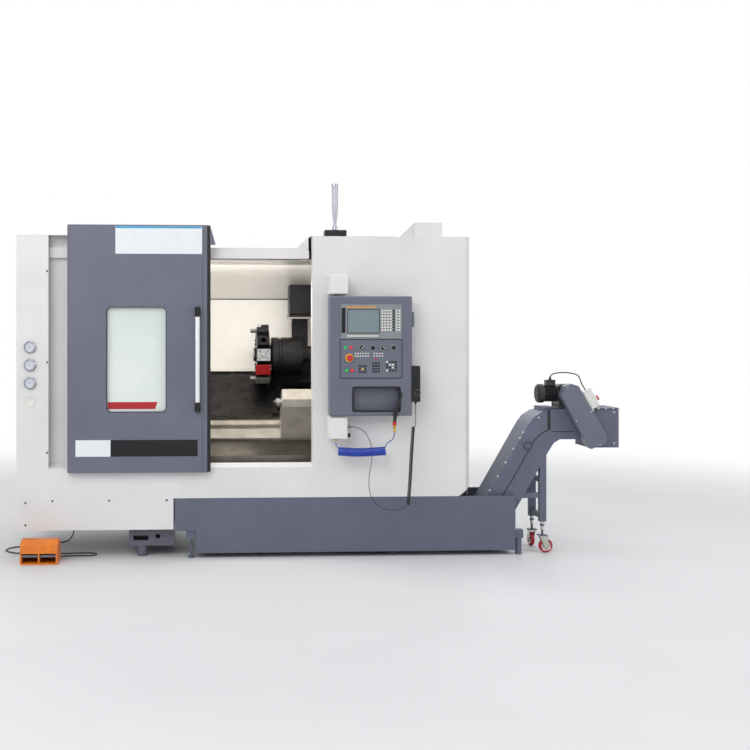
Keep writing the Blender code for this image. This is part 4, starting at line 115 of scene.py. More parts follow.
# One row per finish: two colours that the surface drifts between, the drift's size in mm and its
# share, roughness and its spread, the bump's grain and depth in mm. Some add metallic, how far the
# grain is drawn out along X, Y and Z (stretch), another colour that the drift mixes in towards the
# floor (low_tint), another colour under a height (foot), glow, alpha, or shader sockets under Blender's
# own names (extra).
FINISHES = {
    # Polyester powder coat on folded sheet: satin, with a fine orange peel and faint handling marks.
    "powder_coat_white": ("e2e0e0", "d3d1cf", 420, 0.55, 0.36, 0.1, 3.2, 0.035,
                          dict(low_tint="c9c6c2", extra={"Coat Weight": 0.12})),
    # Chamber walls: the same coat under a film of coolant, yellowed and streaked, and lighter than the outer coat as
    # painted light of the chamber's lamp.
    "oiled_chamber_paint_painted_light": ("f3f1ed", "eae7e1", 330, 0.8, 0.24, 0.12, 5.0, 0.05, dict(extra={"Coat Weight": 0.3})),
    # The same coat in blue-grey, sprayed in a hammer-fine texture.
    "powder_coat_blue_grey": ("666877", "5a5d6d", 380, 0.6, 0.4, 0.1, 2.6, 0.05,
                              dict(low_tint="6a6b78", extra={"Coat Weight": 0.1})),
    # Conveyor and tank paint over rolled plate: a little greyer, and a touch darker towards the bottom.
    "plate_paint_grey": ("575c6d", "62667a", 210, 0.7, 0.5, 0.14, 4.0, 0.09, dict(low_tint="565b6c")),
    # Machine enamel on filled iron castings: smooth but slightly wavy.
    "enamel_on_casting": ("74727d", "64626e", 130, 0.6, 0.42, 0.12, 9.0, 0.12),
    # Bed and tailstock enamel: pale cream, under a brown film of coolant.
    "oiled_casting_enamel": ("c4beb3", "9f978a", 120, 0.8, 0.3, 0.14, 9.0, 0.12, dict(foot=(0.5, "5c5c6b"))),
    # Black oxide on tool steel: near black, oily sheen with brown cast.
    "black_oxide_steel": ("2b2b30", "3b3937", 60, 0.7, 0.34, 0.15, 1.2, 0.02, dict(metal=0.75)),
    # Turned and ground steel: bright, with fine rings left by the tool.
    "ground_steel": ("c4c3c2", "a9a7a4", 45, 0.5, 0.22, 0.1, 1.0, 0.012, dict(metal=1.0, stretch=(6, 1, 1))),
    # Stainless sheet of the chip pan: brushed along its length, dulled by coolant.
    "coolant_worn_stainless": ("a8a39b", "857f76", 150, 0.8, 0.34, 0.2, 1.2, 0.03,
                               dict(metal=1.0, stretch=(0.04, 1, 1))),
    # Scraped spring-steel way covers: dark, with streaks where the wipers run.
    "wiped_spring_steel": ("4f4d4c", "37363a", 70, 0.8, 0.28, 0.16, 1.6, 0.02, dict(metal=0.9, stretch=(0.05, 1, 1))),
    # Zinc plate on small steel parts: pale, blotchy passivation.
    "zinc_plate": ("c9c9c4", "b7b49f", 12, 0.7, 0.3, 0.12, 0.8, 0.01, dict(metal=1.0)),
    # Mirror chrome on the gauge bezels, its colour darkened as a painted reflection of a dark room.
    "chrome_painted_dark_reflection": ("9a9da6", "85888f", 40, 0.3, 0.08, 0.05, 2.0, 0.004, dict(metal=1.0)),
    # Anodised aluminium pull bar: silver, drawn lengthwise.
    "anodised_aluminium": ("e6e8ec", "d5d8dd", 60, 0.5, 0.3, 0.08, 1.2, 0.012, dict(metal=0.9, stretch=(1, 1, 0.04))),
    # Moulded ABS with a spark-eroded texture.
    "moulded_black_abs": ("1d1d20", "242428", 50, 0.5, 0.48, 0.08, 1.0, 0.03, dict(extra={"IOR": 1.38})),
    "moulded_grey_abs": ("84888e", "7a7e84", 60, 0.5, 0.46, 0.08, 1.2, 0.03),
    "moulded_pale_abs": ("dcdcd6", "cfcfc8", 60, 0.5, 0.42, 0.08, 1.2, 0.025),
    "moulded_red_abs": ("c2181c", "a81216", 20, 0.4, 0.3, 0.06, 1.5, 0.01, dict(extra={"Coat Weight": 0.3})),
    "moulded_yellow_abs": ("e8b70e", "d8a70c", 20, 0.4, 0.36, 0.06, 1.5, 0.01),
    # Lens caps with a lamp behind: a touch of glow of their own colour.
    "lit_green_lens": ("2aa84e", "1f9444", 15, 0.5, 0.2, 0.05, 2.0, 0.01, dict(glow=0.35)),
    "lit_red_lens": ("d0282c", "b61d22", 15, 0.5, 0.2, 0.05, 2.0, 0.01, dict(glow=0.3)),
    "amber_stripe": ("d8932a", "c98020", 30, 0.5, 0.35, 0.05, 1.5, 0.01),
    # Screen glass over a lit grey-green display.
    "display_glass": ("6d8085", "5f7278", 120, 0.6, 0.1, 0.04, 5.0, 0.004,
                      dict(glow=0.08, extra={"Coat Weight": 0.6})),
    # Cast polyurethane tread: deep red, slightly waxy.
    "cast_polyurethane_red": ("a8122c", "8f0e24", 25, 0.6, 0.4, 0.1, 2.0, 0.03,
                              dict(extra={"Subsurface Weight": 0.05})),
    # Blown polyurethane hose: saturated blue with a wet gloss.
    "polyurethane_hose_blue": ("1c46bb", "17399c", 30, 0.6, 0.22, 0.06, 2.0, 0.01, dict(extra={"Coat Weight": 0.3})),
    # Extruded PVC sheath.
    "pvc_sheath_black": ("1b1b1e", "232327", 30, 0.5, 0.52, 0.08, 1.5, 0.02),
    # Nitrile rubber of gaskets and feet.
    "nitrile_rubber": ("17171a", "1f1f22", 25, 0.5, 0.72, 0.08, 1.0, 0.03),
    # Gloss enamel of the pedal's cast hood: orange with worn lighter ridges.
    "pedal_enamel_orange": ("f5820a", "e46f04", 60, 0.6, 0.38, 0.12, 4.0, 0.1,
                            dict(low_tint="b8691e", extra={"Coat Weight": 0.15})),
    # Printed gauge dial, matt paper white.
    "printed_dial": ("cfd4e0", "c2c8d6", 20, 0.4, 0.5, 0.05, 1.0, 0.004),
    "printing_black": ("1a1a1c", "222226", 20, 0.4, 0.6, 0.05, 1.0, 0.004),
    # Vinyl sheets stuck to the door: plain white, black and blue fields.
    "vinyl_white": ("e6e9ec", "dcdfe3", 90, 0.5, 0.32, 0.06, 6.0, 0.02),
    "vinyl_black": ("17171b", "202026", 90, 0.5, 0.34, 0.08, 6.0, 0.02, dict(extra={"IOR": 1.36})),
    "vinyl_blue": ("2f9fd0", "2a8fc0", 90, 0.5, 0.34, 0.06, 6.0, 0.02),
    "vinyl_red": ("b51f2a", "a31a24", 60, 0.5, 0.34, 0.06, 6.0, 0.02),
    # Laminated polycarbonate pane, faintly green, with the pale room behind it.
    "laminated_pane": ("f0f4f0", "dbe9e5", 620, 0.9, 0.1, 0.06, 30.0, 0.05,
                       dict(alpha=0.88, extra={"Coat Weight": 0.5})),
    # Frosted acrylic of the lamp tube.
    "frosted_acrylic": ("c3c6ce", "b6bac2", 90, 0.4, 0.22, 0.06, 3.0, 0.02,
                        dict(alpha=0.72, extra={"Coat Weight": 0.4})),
    # Gauge lens of clear acrylic: only its highlights show.
    "clear_lens": ("f2f6f8", "e6edf0", 40, 0.5, 0.04, 0.03, 8.0, 0.01, dict(alpha=0.14, extra={"Coat Weight": 1.0})),
    # Motor enamel: black, thick and glossy over sand-cast aluminium.
    "black_enamel_on_casting": ("1e1f22", "2a2b2e", 50, 0.6, 0.34, 0.12, 3.0, 0.08),
    # Brass of nozzles and fittings.
    "turned_brass": ("c9a24e", "b48c3e", 15, 0.6, 0.26, 0.1, 0.8, 0.01, dict(metal=1.0)),
}


def finish(name):
    """The node material of one row of FINISHES, made once."""
    known = bpy.data.materials.get(name)
    if known:
        return known
    first, second, drift_mm, share_most, roughness, spread, grain_mm, depth_mm, *more = FINISHES[name]
    row = more[0] if more else {}
    chosen = getattr(bpy.context.scene.lathe_colours, PAINTS[name]) if name in PAINTS else None
    first = (*chosen, 1.0) if chosen else linear(first)
    made = bpy.data.materials.new(name)
    tree = emptied(made)
    place = add(tree, "ShaderNodeTexCoord", {})
    drift = add(tree, "ShaderNodeTexNoise", {"Scale": 1000 / drift_mm, "Detail": 5.0, "Roughness": 0.6},
                (place.outputs["Object"], "Vector"))
    share = add(tree, "ShaderNodeMapRange", {"From Min": 0.35, "From Max": 0.68, "To Max": share_most},
                (drift.outputs["Fac"], "Value"))
    colour = add(tree, "ShaderNodeMix", {"data_type": "RGBA", 6: first, 7: linear(second)},
                 (share.outputs["Result"], 0)).outputs[2]
    if row.keys() & {"low_tint", "foot"}:
        height = add(tree, "ShaderNodeSeparateXYZ", {}, (place.outputs["Object"], "Vector"))
    # Below 0.55 m the drift mixes in the row's colour for low parts, more of it nearer the floor.
    if "low_tint" in row:
        low = add(tree, "ShaderNodeMapRange", {"From Min": 0.55, "From Max": 0.0, "To Max": 0.9},
                  (height.outputs["Z"], "Value"))
        low_share = add(tree, "ShaderNodeMath", {"operation": "MULTIPLY"},
                    (low.outputs["Result"], 0), (drift.outputs["Fac"], 1))
        colour = add(tree, "ShaderNodeMix", {"data_type": "RGBA", 7: linear(row["low_tint"])},
                     (low_share.outputs["Value"], 0), (colour, 6)).outputs[2]
    if "foot" in row:
        under = add(tree, "ShaderNodeMath", {"operation": "LESS_THAN", 1: row["foot"][0]}, (height.outputs["Z"], 0))
        colour = add(tree, "ShaderNodeMix", {"data_type": "RGBA", 7: linear(row["foot"][1])},
                     (under.outputs["Value"], 0), (colour, 6)).outputs[2]
    drawn_out = add(tree, "ShaderNodeMapping", {"Scale": row.get("stretch", (1, 1, 1))},
                    (place.outputs["Object"], "Vector"))
    grain = add(tree, "ShaderNodeTexNoise", {"Scale": 1000 / grain_mm, "Detail": 3.0},
                (drawn_out.outputs["Vector"], "Vector"))
    bump = add(tree, "ShaderNodeBump", {"Strength": 0.6, "Distance": depth_mm / 1000},
               (grain.outputs["Fac"], "Height"))
    rough = add(tree, "ShaderNodeMapRange", {
        "From Min": 0.3, "From Max": 0.7, "To Min": roughness - spread / 2, "To Max": roughness + spread / 2,
    }, (grain.outputs["Fac"], "Value"))
    shader = add(tree, "ShaderNodeBsdfPrincipled", {"Metallic": row.get("metal", 0.0), **row.get("extra", {})},
                 (colour, "Base Color"), (rough.outputs["Result"], "Roughness"), (bump.outputs["Normal"], "Normal"))
    shader.inputs["Alpha"].default_value = row.get("alpha", 1.0)
    if "glow" in row:
        shader.inputs["Emission Strength"].default_value = row["glow"]
        tree.links.new(colour, shader.inputs["Emission Color"])
    add(tree, "ShaderNodeOutputMaterial", {}, (shader.outputs["BSDF"], "Surface"))
    return made


# Surfaces


def grid(rows, columns, wrap_rows=False):
    """Quads of a surface of rows by columns points whose columns close on themselves."""
    i = np.arange(rows if wrap_rows else rows - 1)[:, None] * columns
    j = np.arange(columns)[None, :]
    k = (j + 1) % columns
    up = (i + columns) % (rows * columns)
    return np.stack([i + j, i + k, up + k, up + j], -1).reshape(-1, 4).tolist()


def merged(*shapes):
    """Several closed shapes as one list of points and faces."""
    starts = np.cumsum([0] + [len(points) for points, _ in shapes])
    faces = [[v + int(start) for v in face] for (_, each), start in zip(shapes, starts) for face in each]
    return np.concatenate([points for points, _ in shapes]), faces


def repeated(shape, places):
    """One shape moved to each place: p + place."""
    points, faces = shape
    return merged(*[(points + np.asarray(place, float), faces) for place in places])


def moved(shape, matrix):
    """A shape under a 4 by 4 matrix."""
    points, faces = shape
    m = np.array(matrix)
    return points @ m[:3, :3].T + m[:3, 3], faces


def round_corners(width, height, radius, centre=(0, 0), steps=4):
    """Rounded rectangle: quarter circles of the radius round the corners of an inner rectangle."""
    a = np.radians(np.concatenate([np.linspace(q, q + 90, steps + 1) for q in (0, 90, 180, 270)]))
    u = np.repeat([1, -1, -1, 1], steps + 1) * (width / 2 - radius)
    v = np.repeat([1, 1, -1, -1], steps + 1) * (height / 2 - radius)
    return np.column_stack([centre[0] + u + radius * np.cos(a), centre[1] + v + radius * np.sin(a)])


ORDER = {"X": [2, 0, 1], "Y": [0, 2, 1], "Z": [0, 1, 2]}


def unit(vectors):
    """Each row divided by its length."""
    return vectors / np.maximum(np.linalg.norm(vectors, axis=1, keepdims=True), 1e-9)


def rings_of(outline, profile, axis):
    """Copies of a flat outline for each (i, w) of the profile: p = (u - i n, w), n the outline's normal.

    The outline is (y, z) across X, (x, z) across Y and (x, y) across Z.
    """
    outline = np.asarray(outline, float)
    after = np.roll(outline, -1, 0)
    edge = after - outline
    side = unit(np.column_stack([edge[:, 1], -edge[:, 0]]))
    out = unit(side + np.roll(side, 1, 0))
    turn = np.sign(np.sum(outline[:, 0] * after[:, 1] - outline[:, 1] * after[:, 0]))
    return np.concatenate([
        np.column_stack([outline - out * turn * inset, np.full(len(outline), w)]) for inset, w in profile
    ])[:, ORDER[axis]]


def drawn(outline, start, end, axis="Y", ease=0.0):
    """An outline carried along an axis from start to end, with its end rings drawn in by the ease."""
    step = math.copysign(ease, end - start)
    rings = [(ease, start), (0, start + step), (0, end - step), (ease, end)] if ease else [(0, start), (0, end)]
    points = rings_of(outline, rings, axis)
    count = len(outline)
    faces = grid(len(rings), count)
    faces += [list(range(count))[::-1], list(range(len(points) - count, len(points)))]
    return points, faces


def banded(outline, profile, axis="Y"):
    """A closed profile of (inset, along) carried round a closed outline, as a frame or a gasket."""
    return rings_of(outline, profile, axis), grid(len(profile), len(outline), wrap_rows=True)


def plate(x, y, z, corner=0.002, ease=0.0006, axis="Y", steps=3):
    """A rounded rectangle carried along an axis, with eased edges."""
    spans = {"X": (y, z, x), "Y": (x, z, y), "Z": (x, y, z)}[axis]
    u, v, w = spans
    outline = round_corners(u[1] - u[0], v[1] - v[0], corner, ((u[0] + u[1]) / 2, (v[0] + v[1]) / 2), steps)
    return drawn(outline, w[0], w[1], axis, ease)


def turned(profile, centre=(0, 0, 0), direction=FRONT, sides=48):
    """A turned piece: p = centre + w d + r (cos a u + sin a v) for the profile's (w, r) in millimetres."""
    profile = np.asarray(profile, float) * MM
    solid = profile[0, 1] == 0 and profile[-1, 1] == 0
    rings = profile[1:-1] if solid else profile
    a = np.linspace(0, 2 * np.pi, sides, endpoint=False)
    w, r = (np.repeat(rings[:, k], sides) for k in (0, 1))
    a = np.tile(a, len(rings))
    points = np.column_stack([r * np.cos(a), r * np.sin(a), w])
    faces = grid(len(rings), sides, wrap_rows=not solid)
    if solid:
        points = np.concatenate([points, [(0, 0, profile[0, 0]), (0, 0, profile[-1, 0])]])
        j = np.arange(sides)
        last = (len(rings) - 1) * sides
        faces += np.column_stack([j, (j + 1) % sides, np.full(sides, len(points) - 2)]).tolist()
        faces += np.column_stack([last + j, last + (j + 1) % sides, np.full(sides, len(points) - 1)]).tolist()
    turn = Vector(direction).to_track_quat("Z", "Y").to_matrix()
    return points @ np.array(turn).T + np.asarray(centre, float), faces


def tube(path, radius, sides=12, across=(0, 0, 1)):
    """A round bar along a path: p = c(t) + r (cos a n + sin a b), n square to the path and to one direction."""
    path = np.asarray(path, float)
    along = unit(np.gradient(path, axis=0))
    n = unit(np.cross(along, np.asarray(across, float)))
    b = np.cross(along, n)
    a = np.linspace(0, 2 * np.pi, sides, endpoint=False)[None, :, None]
    radius = np.broadcast_to(np.asarray(radius, float), (len(path),))[:, None, None]
    points = path[:, None] + radius * (np.cos(a) * n[:, None] + np.sin(a) * b[:, None])
    points = points.reshape(-1, 3)
    faces = grid(len(path), sides)
    faces += [list(range(sides))[::-1], list(range(len(points) - sides, len(points)))]
    return points, faces


def linked(name, data):
    """A new object at the origin that shows the data."""
    made = bpy.data.objects.new(name, data)
    bpy.context.scene.collection.objects.link(made)
    return made


def piece(name, shape, coat, body, replaces=(), slot=None, sharp=32):
    """Put a shape into a mesh, face it outwards, give it its finish and let it ride on a body."""
    points, faces = shape
    mesh = bpy.data.meshes.new(name)
    mesh.from_pydata((np.asarray(points) + DATUM).tolist(), [], faces)
    work = bmesh.new()
    work.from_mesh(mesh)
    bmesh.ops.recalc_face_normals(work, faces=work.faces)
    work.to_mesh(mesh)
    work.free()
    mesh.shade_smooth()
    mesh.set_sharp_from_angle(angle=math.radians(sharp))
    mesh.materials.append(finish(coat))
    made = linked(name, mesh)
    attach(made, body)
    if replaces:
        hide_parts(*replaces)
    return made


def screws(places, direction, radius=0.006, height=0.0035):
    """Button-head screws: a spherical cap with a socket, at each place."""
    r, h = radius / MM, height / MM
    head = [(0, 0), (0, r), (h * 0.5, r * 0.92), (h, r * 0.62), (h, r * 0.36), (h * 0.45, r * 0.34), (h * 0.45, 0)]
    return repeated(turned(head, (0, 0, 0), direction, 16), places)


def around(centre, radius, degrees):
    """Places on a circle square to X: c + r (0, cos a, sin a)."""
    a = np.radians(degrees)
    return np.asarray(centre) + radius * np.column_stack([np.zeros(len(a)), np.cos(a), np.sin(a)])


# Sizes and colours that a user may change


class LatheColours(bpy.types.PropertyGroup):
    """Main coats of paint and plastic."""

    sheet_white: bpy.props.FloatVectorProperty(
        name="Sheet white", description="Powder coat of the enclosure", subtype="COLOR", size=3, min=0, max=1,
        default=linear("e2e0e0")[:3])
    sheet_grey: bpy.props.FloatVectorProperty(
        name="Sheet grey", description="Powder coat of the door and the control panel", subtype="COLOR", size=3,
        min=0, max=1, default=linear("666877")[:3])
    pedal_orange: bpy.props.FloatVectorProperty(
        name="Pedal orange", description="Enamel of the foot pedal's hood", subtype="COLOR", size=3, min=0, max=1,
        default=linear("f5820a")[:3])
    hose_blue: bpy.props.FloatVectorProperty(
        name="Hose blue", description="Colour of the coiled air hose", subtype="COLOR", size=3, min=0, max=1,
        default=linear("1c46bb")[:3])


class LatheCords(bpy.types.PropertyGroup):
    """Diameters, curl sizes and pitches of the cords."""

    pedal_diameter: bpy.props.FloatProperty(
        name="Pedal cable", description="Diameter of the pedal's cable", default=0.0084, unit="LENGTH")
    hose_diameter: bpy.props.FloatProperty(
        name="Air hose", description="Outer diameter of the air hose", default=0.006, unit="LENGTH")
    hose_coil: bpy.props.FloatProperty(
        name="Hose coil radius", description="Middle of the hose's turns", default=0.02675, unit="LENGTH")
    hose_pitch: bpy.props.FloatProperty(
        name="Hose pitch", description="Distance from turn to turn of the hose", default=0.0072, unit="LENGTH")
    wheel_diameter: bpy.props.FloatProperty(
        name="Hand wheel cord", description="Diameter of the hand wheel's cord", default=0.0046, unit="LENGTH")
    wheel_coil: bpy.props.FloatProperty(
        name="Cord curl radius", description="Middle of the cord's turns", default=0.0096, unit="LENGTH")
    wheel_pitch: bpy.props.FloatProperty(
        name="Cord pitch", description="Distance from turn to turn of the cord", default=0.0054, unit="LENGTH")
    lead_diameter: bpy.props.FloatProperty(
        name="Switch lead", description="Diameter of the stop switch's lead", default=0.0078, unit="LENGTH")


class LatheStage(bpy.types.PropertyGroup):
    """Camera, floor and lights."""

    lens: bpy.props.FloatProperty(
        name="Lens", description="Focal length over a 36 mm wide sensor", default=51.1, unit="CAMERA")
    distance: bpy.props.FloatProperty(
        name="Distance", description="From the enclosure's front to the camera", default=7.0, unit="LENGTH")
    eye_height: bpy.props.FloatProperty(
        name="Eye height", description="Height of the camera", default=1.445, unit="LENGTH")
    turn: bpy.props.FloatProperty(
        name="Turn", description="How far the camera looks to the right", default=math.radians(3), subtype="ANGLE")
    floor_colour: bpy.props.FloatVectorProperty(
        name="Floor", description="Pale floor", subtype="COLOR", size=3, min=0, max=1, default=linear("d9d9da")[:3])
    key_power: bpy.props.FloatProperty(
        name="Key light", description="Power of the large front light", default=275.0, unit="POWER")
    fill_power: bpy.props.FloatProperty(
        name="Fill light", description="Power of each side and top light", default=112.0, unit="POWER")
    chamber_power: bpy.props.FloatProperty(
        name="Chamber light", description="Power of the work light in the chamber", default=11.0, unit="POWER")


class LatheFront(bpy.types.PropertyGroup):
    """Fittings of the enclosure's front and its door."""

    gauge_radius: bpy.props.FloatProperty(
        name="Gauge radius", description="Outside of a gauge's bezel", default=0.0385, unit="LENGTH")
    gauge_pitch: bpy.props.FloatProperty(
        name="Gauge pitch", description="Distance from gauge to gauge", default=0.117, unit="LENGTH")
    gasket_width: bpy.props.FloatProperty(
        name="Window gasket", description="Width of the rubber round the door window", default=0.003, unit="LENGTH")
    screw_radius: bpy.props.FloatProperty(
        name="Screw head", description="Radius of the cover screws", default=0.0065, unit="LENGTH")


class LathePanel(bpy.types.PropertyGroup):
    """Keys and fittings of the control panel."""

    key_size: bpy.props.FloatProperty(
        name="Key", description="Width of a keypad key", default=0.0135, unit="LENGTH")
    key_height: bpy.props.FloatProperty(
        name="Key height", description="How far a key stands proud", default=0.0022, unit="LENGTH")
    knob_radius: bpy.props.FloatProperty(
        name="Knob radius", description="Radius of the small rotary knobs", default=0.0125, unit="LENGTH")


class LatheConveyor(bpy.types.PropertyGroup):
    """Fittings of the chip conveyor."""

    fin_count: bpy.props.IntProperty(
        name="Fins", description="Cooling fins round the motor", default=28, min=8, max=60)
    fin_depth: bpy.props.FloatProperty(
        name="Fin depth", description="Depth of the cooling fins", default=0.007, unit="LENGTH")
    bolt_radius: bpy.props.FloatProperty(
        name="Bolt radius", description="Half the width of a hexagon head", default=0.0055, unit="LENGTH")


# Cords


def running(line):
    """Length along a line at each of its points."""
    return np.concatenate([[0], np.cumsum(np.linalg.norm(np.diff(line, axis=0), axis=1))])


def points_at(lengths, line):
    """Points of a line at given lengths along it."""
    run = running(line)
    return np.column_stack([np.interp(lengths, run, line[:, i]) for i in range(3)])


def smooth(points, spacing):
    """Points evenly on a Catmull-Rom curve: cubic between knots, tangents half the neighbours' chord."""
    knots = np.asarray(points, float)
    k = np.vstack([2 * knots[0] - knots[1], knots, 2 * knots[-1] - knots[-2]])
    t = np.linspace(0, 1, 48, endpoint=False)[None, :, None]
    a, b, c, d = (k[i:len(k) - 3 + i, None] for i in range(4))
    dense = 0.5 * (2 * b + (c - a) * t + (2 * a - 5 * b + 4 * c - d) * t ** 2 + (3 * b - a - 3 * c + d) * t ** 3)
    dense = np.vstack([dense.reshape(-1, 3), knots[-1]])
    length = running(dense)[-1]
    return points_at(np.linspace(0, length, max(3, int(round(length / spacing)) + 1)), dense)


def curled(points, radius, pitch, per_turn=16, extra=0.0):
    """A helix round a smooth line: p = c(s) + r (cos a n + sin a b), a from half a turn on."""
    line = smooth(points, 0.004)
    length = running(line)[-1]
    turns = int(length / pitch) + extra
    s = np.linspace(0, length, int(turns * per_turn) + 1)
    centre = points_at(s, line)
    along = unit(np.gradient(centre, axis=0))
    across = np.array((0.0, 1.0, 0.0))
    n = unit(across - along * (along @ across)[:, None])
    b = np.cross(along, n)
    a = np.pi + 2 * np.pi * turns * s / length
    return centre + radius * (np.cos(a)[:, None] * n + np.sin(a)[:, None] * b)


def double_bend(start, end, count=9):
    """Two equal arcs from one upright run to the next: R = (h^2 + d^2) / 4d for height h and offset d."""
    start, end = np.asarray(start, float), np.asarray(end, float)
    side = (end - start) * (1, 1, 0)
    d, h = float(np.linalg.norm(side)), float(end[2] - start[2])
    radius, top = (h * h + d * d) / (4 * d), 2 * math.atan2(d, abs(h))
    t = np.linspace(0, 1, count)[:, None]
    a = top * 2 * np.minimum(t, 1 - t)
    up = np.where(t <= 0.5, radius * np.sin(a), abs(h) - radius * np.sin(a))
    out = np.where(t <= 0.5, radius * (1 - np.cos(a)), d - radius * (1 - np.cos(a)))
    return start + up * (0, 0, math.copysign(1, h)) + out * side / d


def lay_cord(name, points, diameter, coat, body, node, resolution=5):
    """One open spline through the points with a round section."""
    points = np.asarray(points, float) + DATUM
    curve = bpy.data.curves.new(name, "CURVE")
    curve.dimensions = "3D"
    curve.bevel_depth = diameter / 2
    curve.bevel_resolution = resolution
    curve.use_fill_caps = True
    curve.resolution_u = 1
    line = curve.splines.new("POLY")
    line.points.add(len(points) - 1)
    line.points.foreach_set("co", np.column_stack([points, np.ones(len(points))]).ravel())
    line.use_smooth = True
    curve.materials.append(finish(coat))
    made = linked(name, curve)
    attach(made, body)
    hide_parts(node)
    return made


# The conveyor's chain guard in X and Z: its two axles, the way down from one to the other, and square to it.
GUARD_MOTOR = np.array((3.665, 1.0694))
GUARD_HEAD = np.array((3.835, 0.775))
GUARD_DOWN = (GUARD_HEAD - GUARD_MOTOR) / np.linalg.norm(GUARD_HEAD - GUARD_MOTOR)
GUARD_OUT = np.array((-GUARD_DOWN[1], GUARD_DOWN[0]))


class LATHE_OT_cords(bpy.types.Operator):
    """Lay the pedal's cable, the coiled hose, the hand wheel's curly cord and the stop switch's lead."""

    bl_idname = "lathe.cords"
    bl_label = "Cords"

    def execute(self, context):
        """Lay each cord along the route of its CAD solid."""
        sizes = context.scene.lathe_cords
        lie = 0.0045
        lay_cord("pedal_cable_sheath", smooth([
            (0.236, 0.0203, 0.012), (0.236, 0.0383, 0.012), (0.238, 0.0563, 0.011), (0.262, 0.084, lie),
            (0.34, 0.096, lie), (0.396, 0.098, lie), (0.43, 0.0985, lie), (0.462, 0.099, lie), (0.4931, 0.1119, lie),
            (0.506, 0.143, lie), (0.4931, 0.1741, lie), (0.462, 0.187, lie), (0.43, 0.187, lie), (0.396, 0.186, lie),
            (0.3, 0.18, lie), (0.12, 0.17, lie), (-0.04, 0.21, lie), (-0.12, 0.3, lie),
            (-0.09, 0.4, lie), (0.03, 0.47, lie), (0.18, 0.54, 0.0053), (0.27, 0.64, 0.0148),
            (0.297, 0.72, 0.11), (0.3, 0.76, 0.26), (0.3, 0.765, 0.4197),
        ], 0.012), sizes.pedal_diameter, "pvc_sheath_black", "machine", "pedal_cable")
        hose = curled([(2.094, -0.112, 0.708), (2.226, -0.114, 0.7), (2.4, -0.118, 0.7092)],
                      sizes.hose_coil, sizes.hose_pitch, extra=0.5)
        lay_cord("air_hose_coil", np.vstack([
            double_bend((2.076, -0.112, 0.7692), hose[0])[:-1],
            hose,
            double_bend(hose[-1], (2.452, -0.1643, 0.8347), 13)[1:],
        ]), sizes.hose_diameter, "polyurethane_hose_blue", "control_panel", "air_hose", 3)
        curl = curled([(2.55, -0.112, 0.356), (2.562, -0.112, 0.5), (2.572, -0.118, 0.7), (2.582, -0.124, 0.866)],
                      sizes.wheel_coil, sizes.wheel_pitch, 14)
        lay_cord("hand_wheel_curly_cord", np.vstack([
            smooth([(2.1623, -0.112, 0.866), (2.196, -0.112, 0.866), (2.25, -0.1, 0.846),
                    (2.291, -0.078, 0.8), (2.318, -0.066, 0.727), (2.32, -0.066, 0.649),
                    (2.3, -0.078, 0.54), (2.302, -0.094, 0.439), (2.34, -0.104, 0.365),
                    (2.421, -0.112, 0.325), (2.5, -0.117, 0.329), (2.534, -0.1205, 0.347),
                    tuple(curl[0])], 0.01)[:-1],
            curl,
            smooth([tuple(curl[-1]), tuple(curl[-1] + (0.008, 0, 0.003)), tuple(curl[-1] + (0.0135, 0, 0.013)),
                    (2.5963, -0.132, 0.91), (2.5963, -0.132, 0.97), (2.5963, -0.132, 1.0297)], 0.006)[1:],
        ]), sizes.wheel_diameter, "pvc_sheath_black", "control_panel", "hand_wheel_cord", 2)
        down = np.array((GUARD_DOWN[0], 0, GUARD_DOWN[1]))
        end = np.array((3.7729, 0.0137, 1.0974))
        lay_cord("switch_lead", smooth([
            (3.57, 0.125, 1.1617), (3.57, 0.125, 1.1757), (3.59, 0.119, 1.2017), (3.655, 0.08, 1.2117),
            (3.725, 0.03, 1.1957), tuple(end - down * 0.05), tuple(end - down * 0.014), tuple(end),
        ], 0.008), sizes.lead_diameter, "pvc_sheath_black", "machine", "switch_box_cable")
        return {"FINISHED"}


# CAD nodes

# The finish for each material of the CAD, then for the nodes that have one of their own.
COATS = {
    "white_paint": "powder_coat_white", "grey_paint": "powder_coat_blue_grey", "cast_paint": "enamel_on_casting",
    "black_paint": "black_oxide_steel", "stainless": "coolant_worn_stainless", "dark_steel": "wiped_spring_steel",
    "bright_steel": "ground_steel", "black_plastic": "moulded_black_abs", "pale_plastic": "moulded_pale_abs",
    "red_plastic": "moulded_red_abs", "green_plastic": "lit_green_lens", "blue_hose": "polyurethane_hose_blue",
    "black_rubber": "nitrile_rubber", "orange_paint": "pedal_enamel_orange", "red_wheel": "cast_polyurethane_red",
    "lamp_acrylic": "frosted_acrylic", "window_glass": "laminated_pane",
}
NODE_COATS = {
    "coolant_tank": "plate_paint_grey", "conveyor_casing": "plate_paint_grey", "conveyor_stand": "plate_paint_grey",
    "conveyor_chain_guard": "plate_paint_grey", "feed_hold_button": "lit_red_lens",
    # The splash guard's paint is lighter than the outer coat: painted light of the chamber's lamp.
    "splash_guard": "oiled_chamber_paint_painted_light", "bed_casting": "oiled_casting_enamel",
    "tailstock_body": "oiled_casting_enamel", "headstock": "oiled_casting_enamel", "cnc_unit": "moulded_grey_abs",
    "carriage": "wiped_spring_steel", "cross_slide": "black_oxide_steel",
    "caster_fork_1": "zinc_plate", "caster_fork_2": "zinc_plate",
}


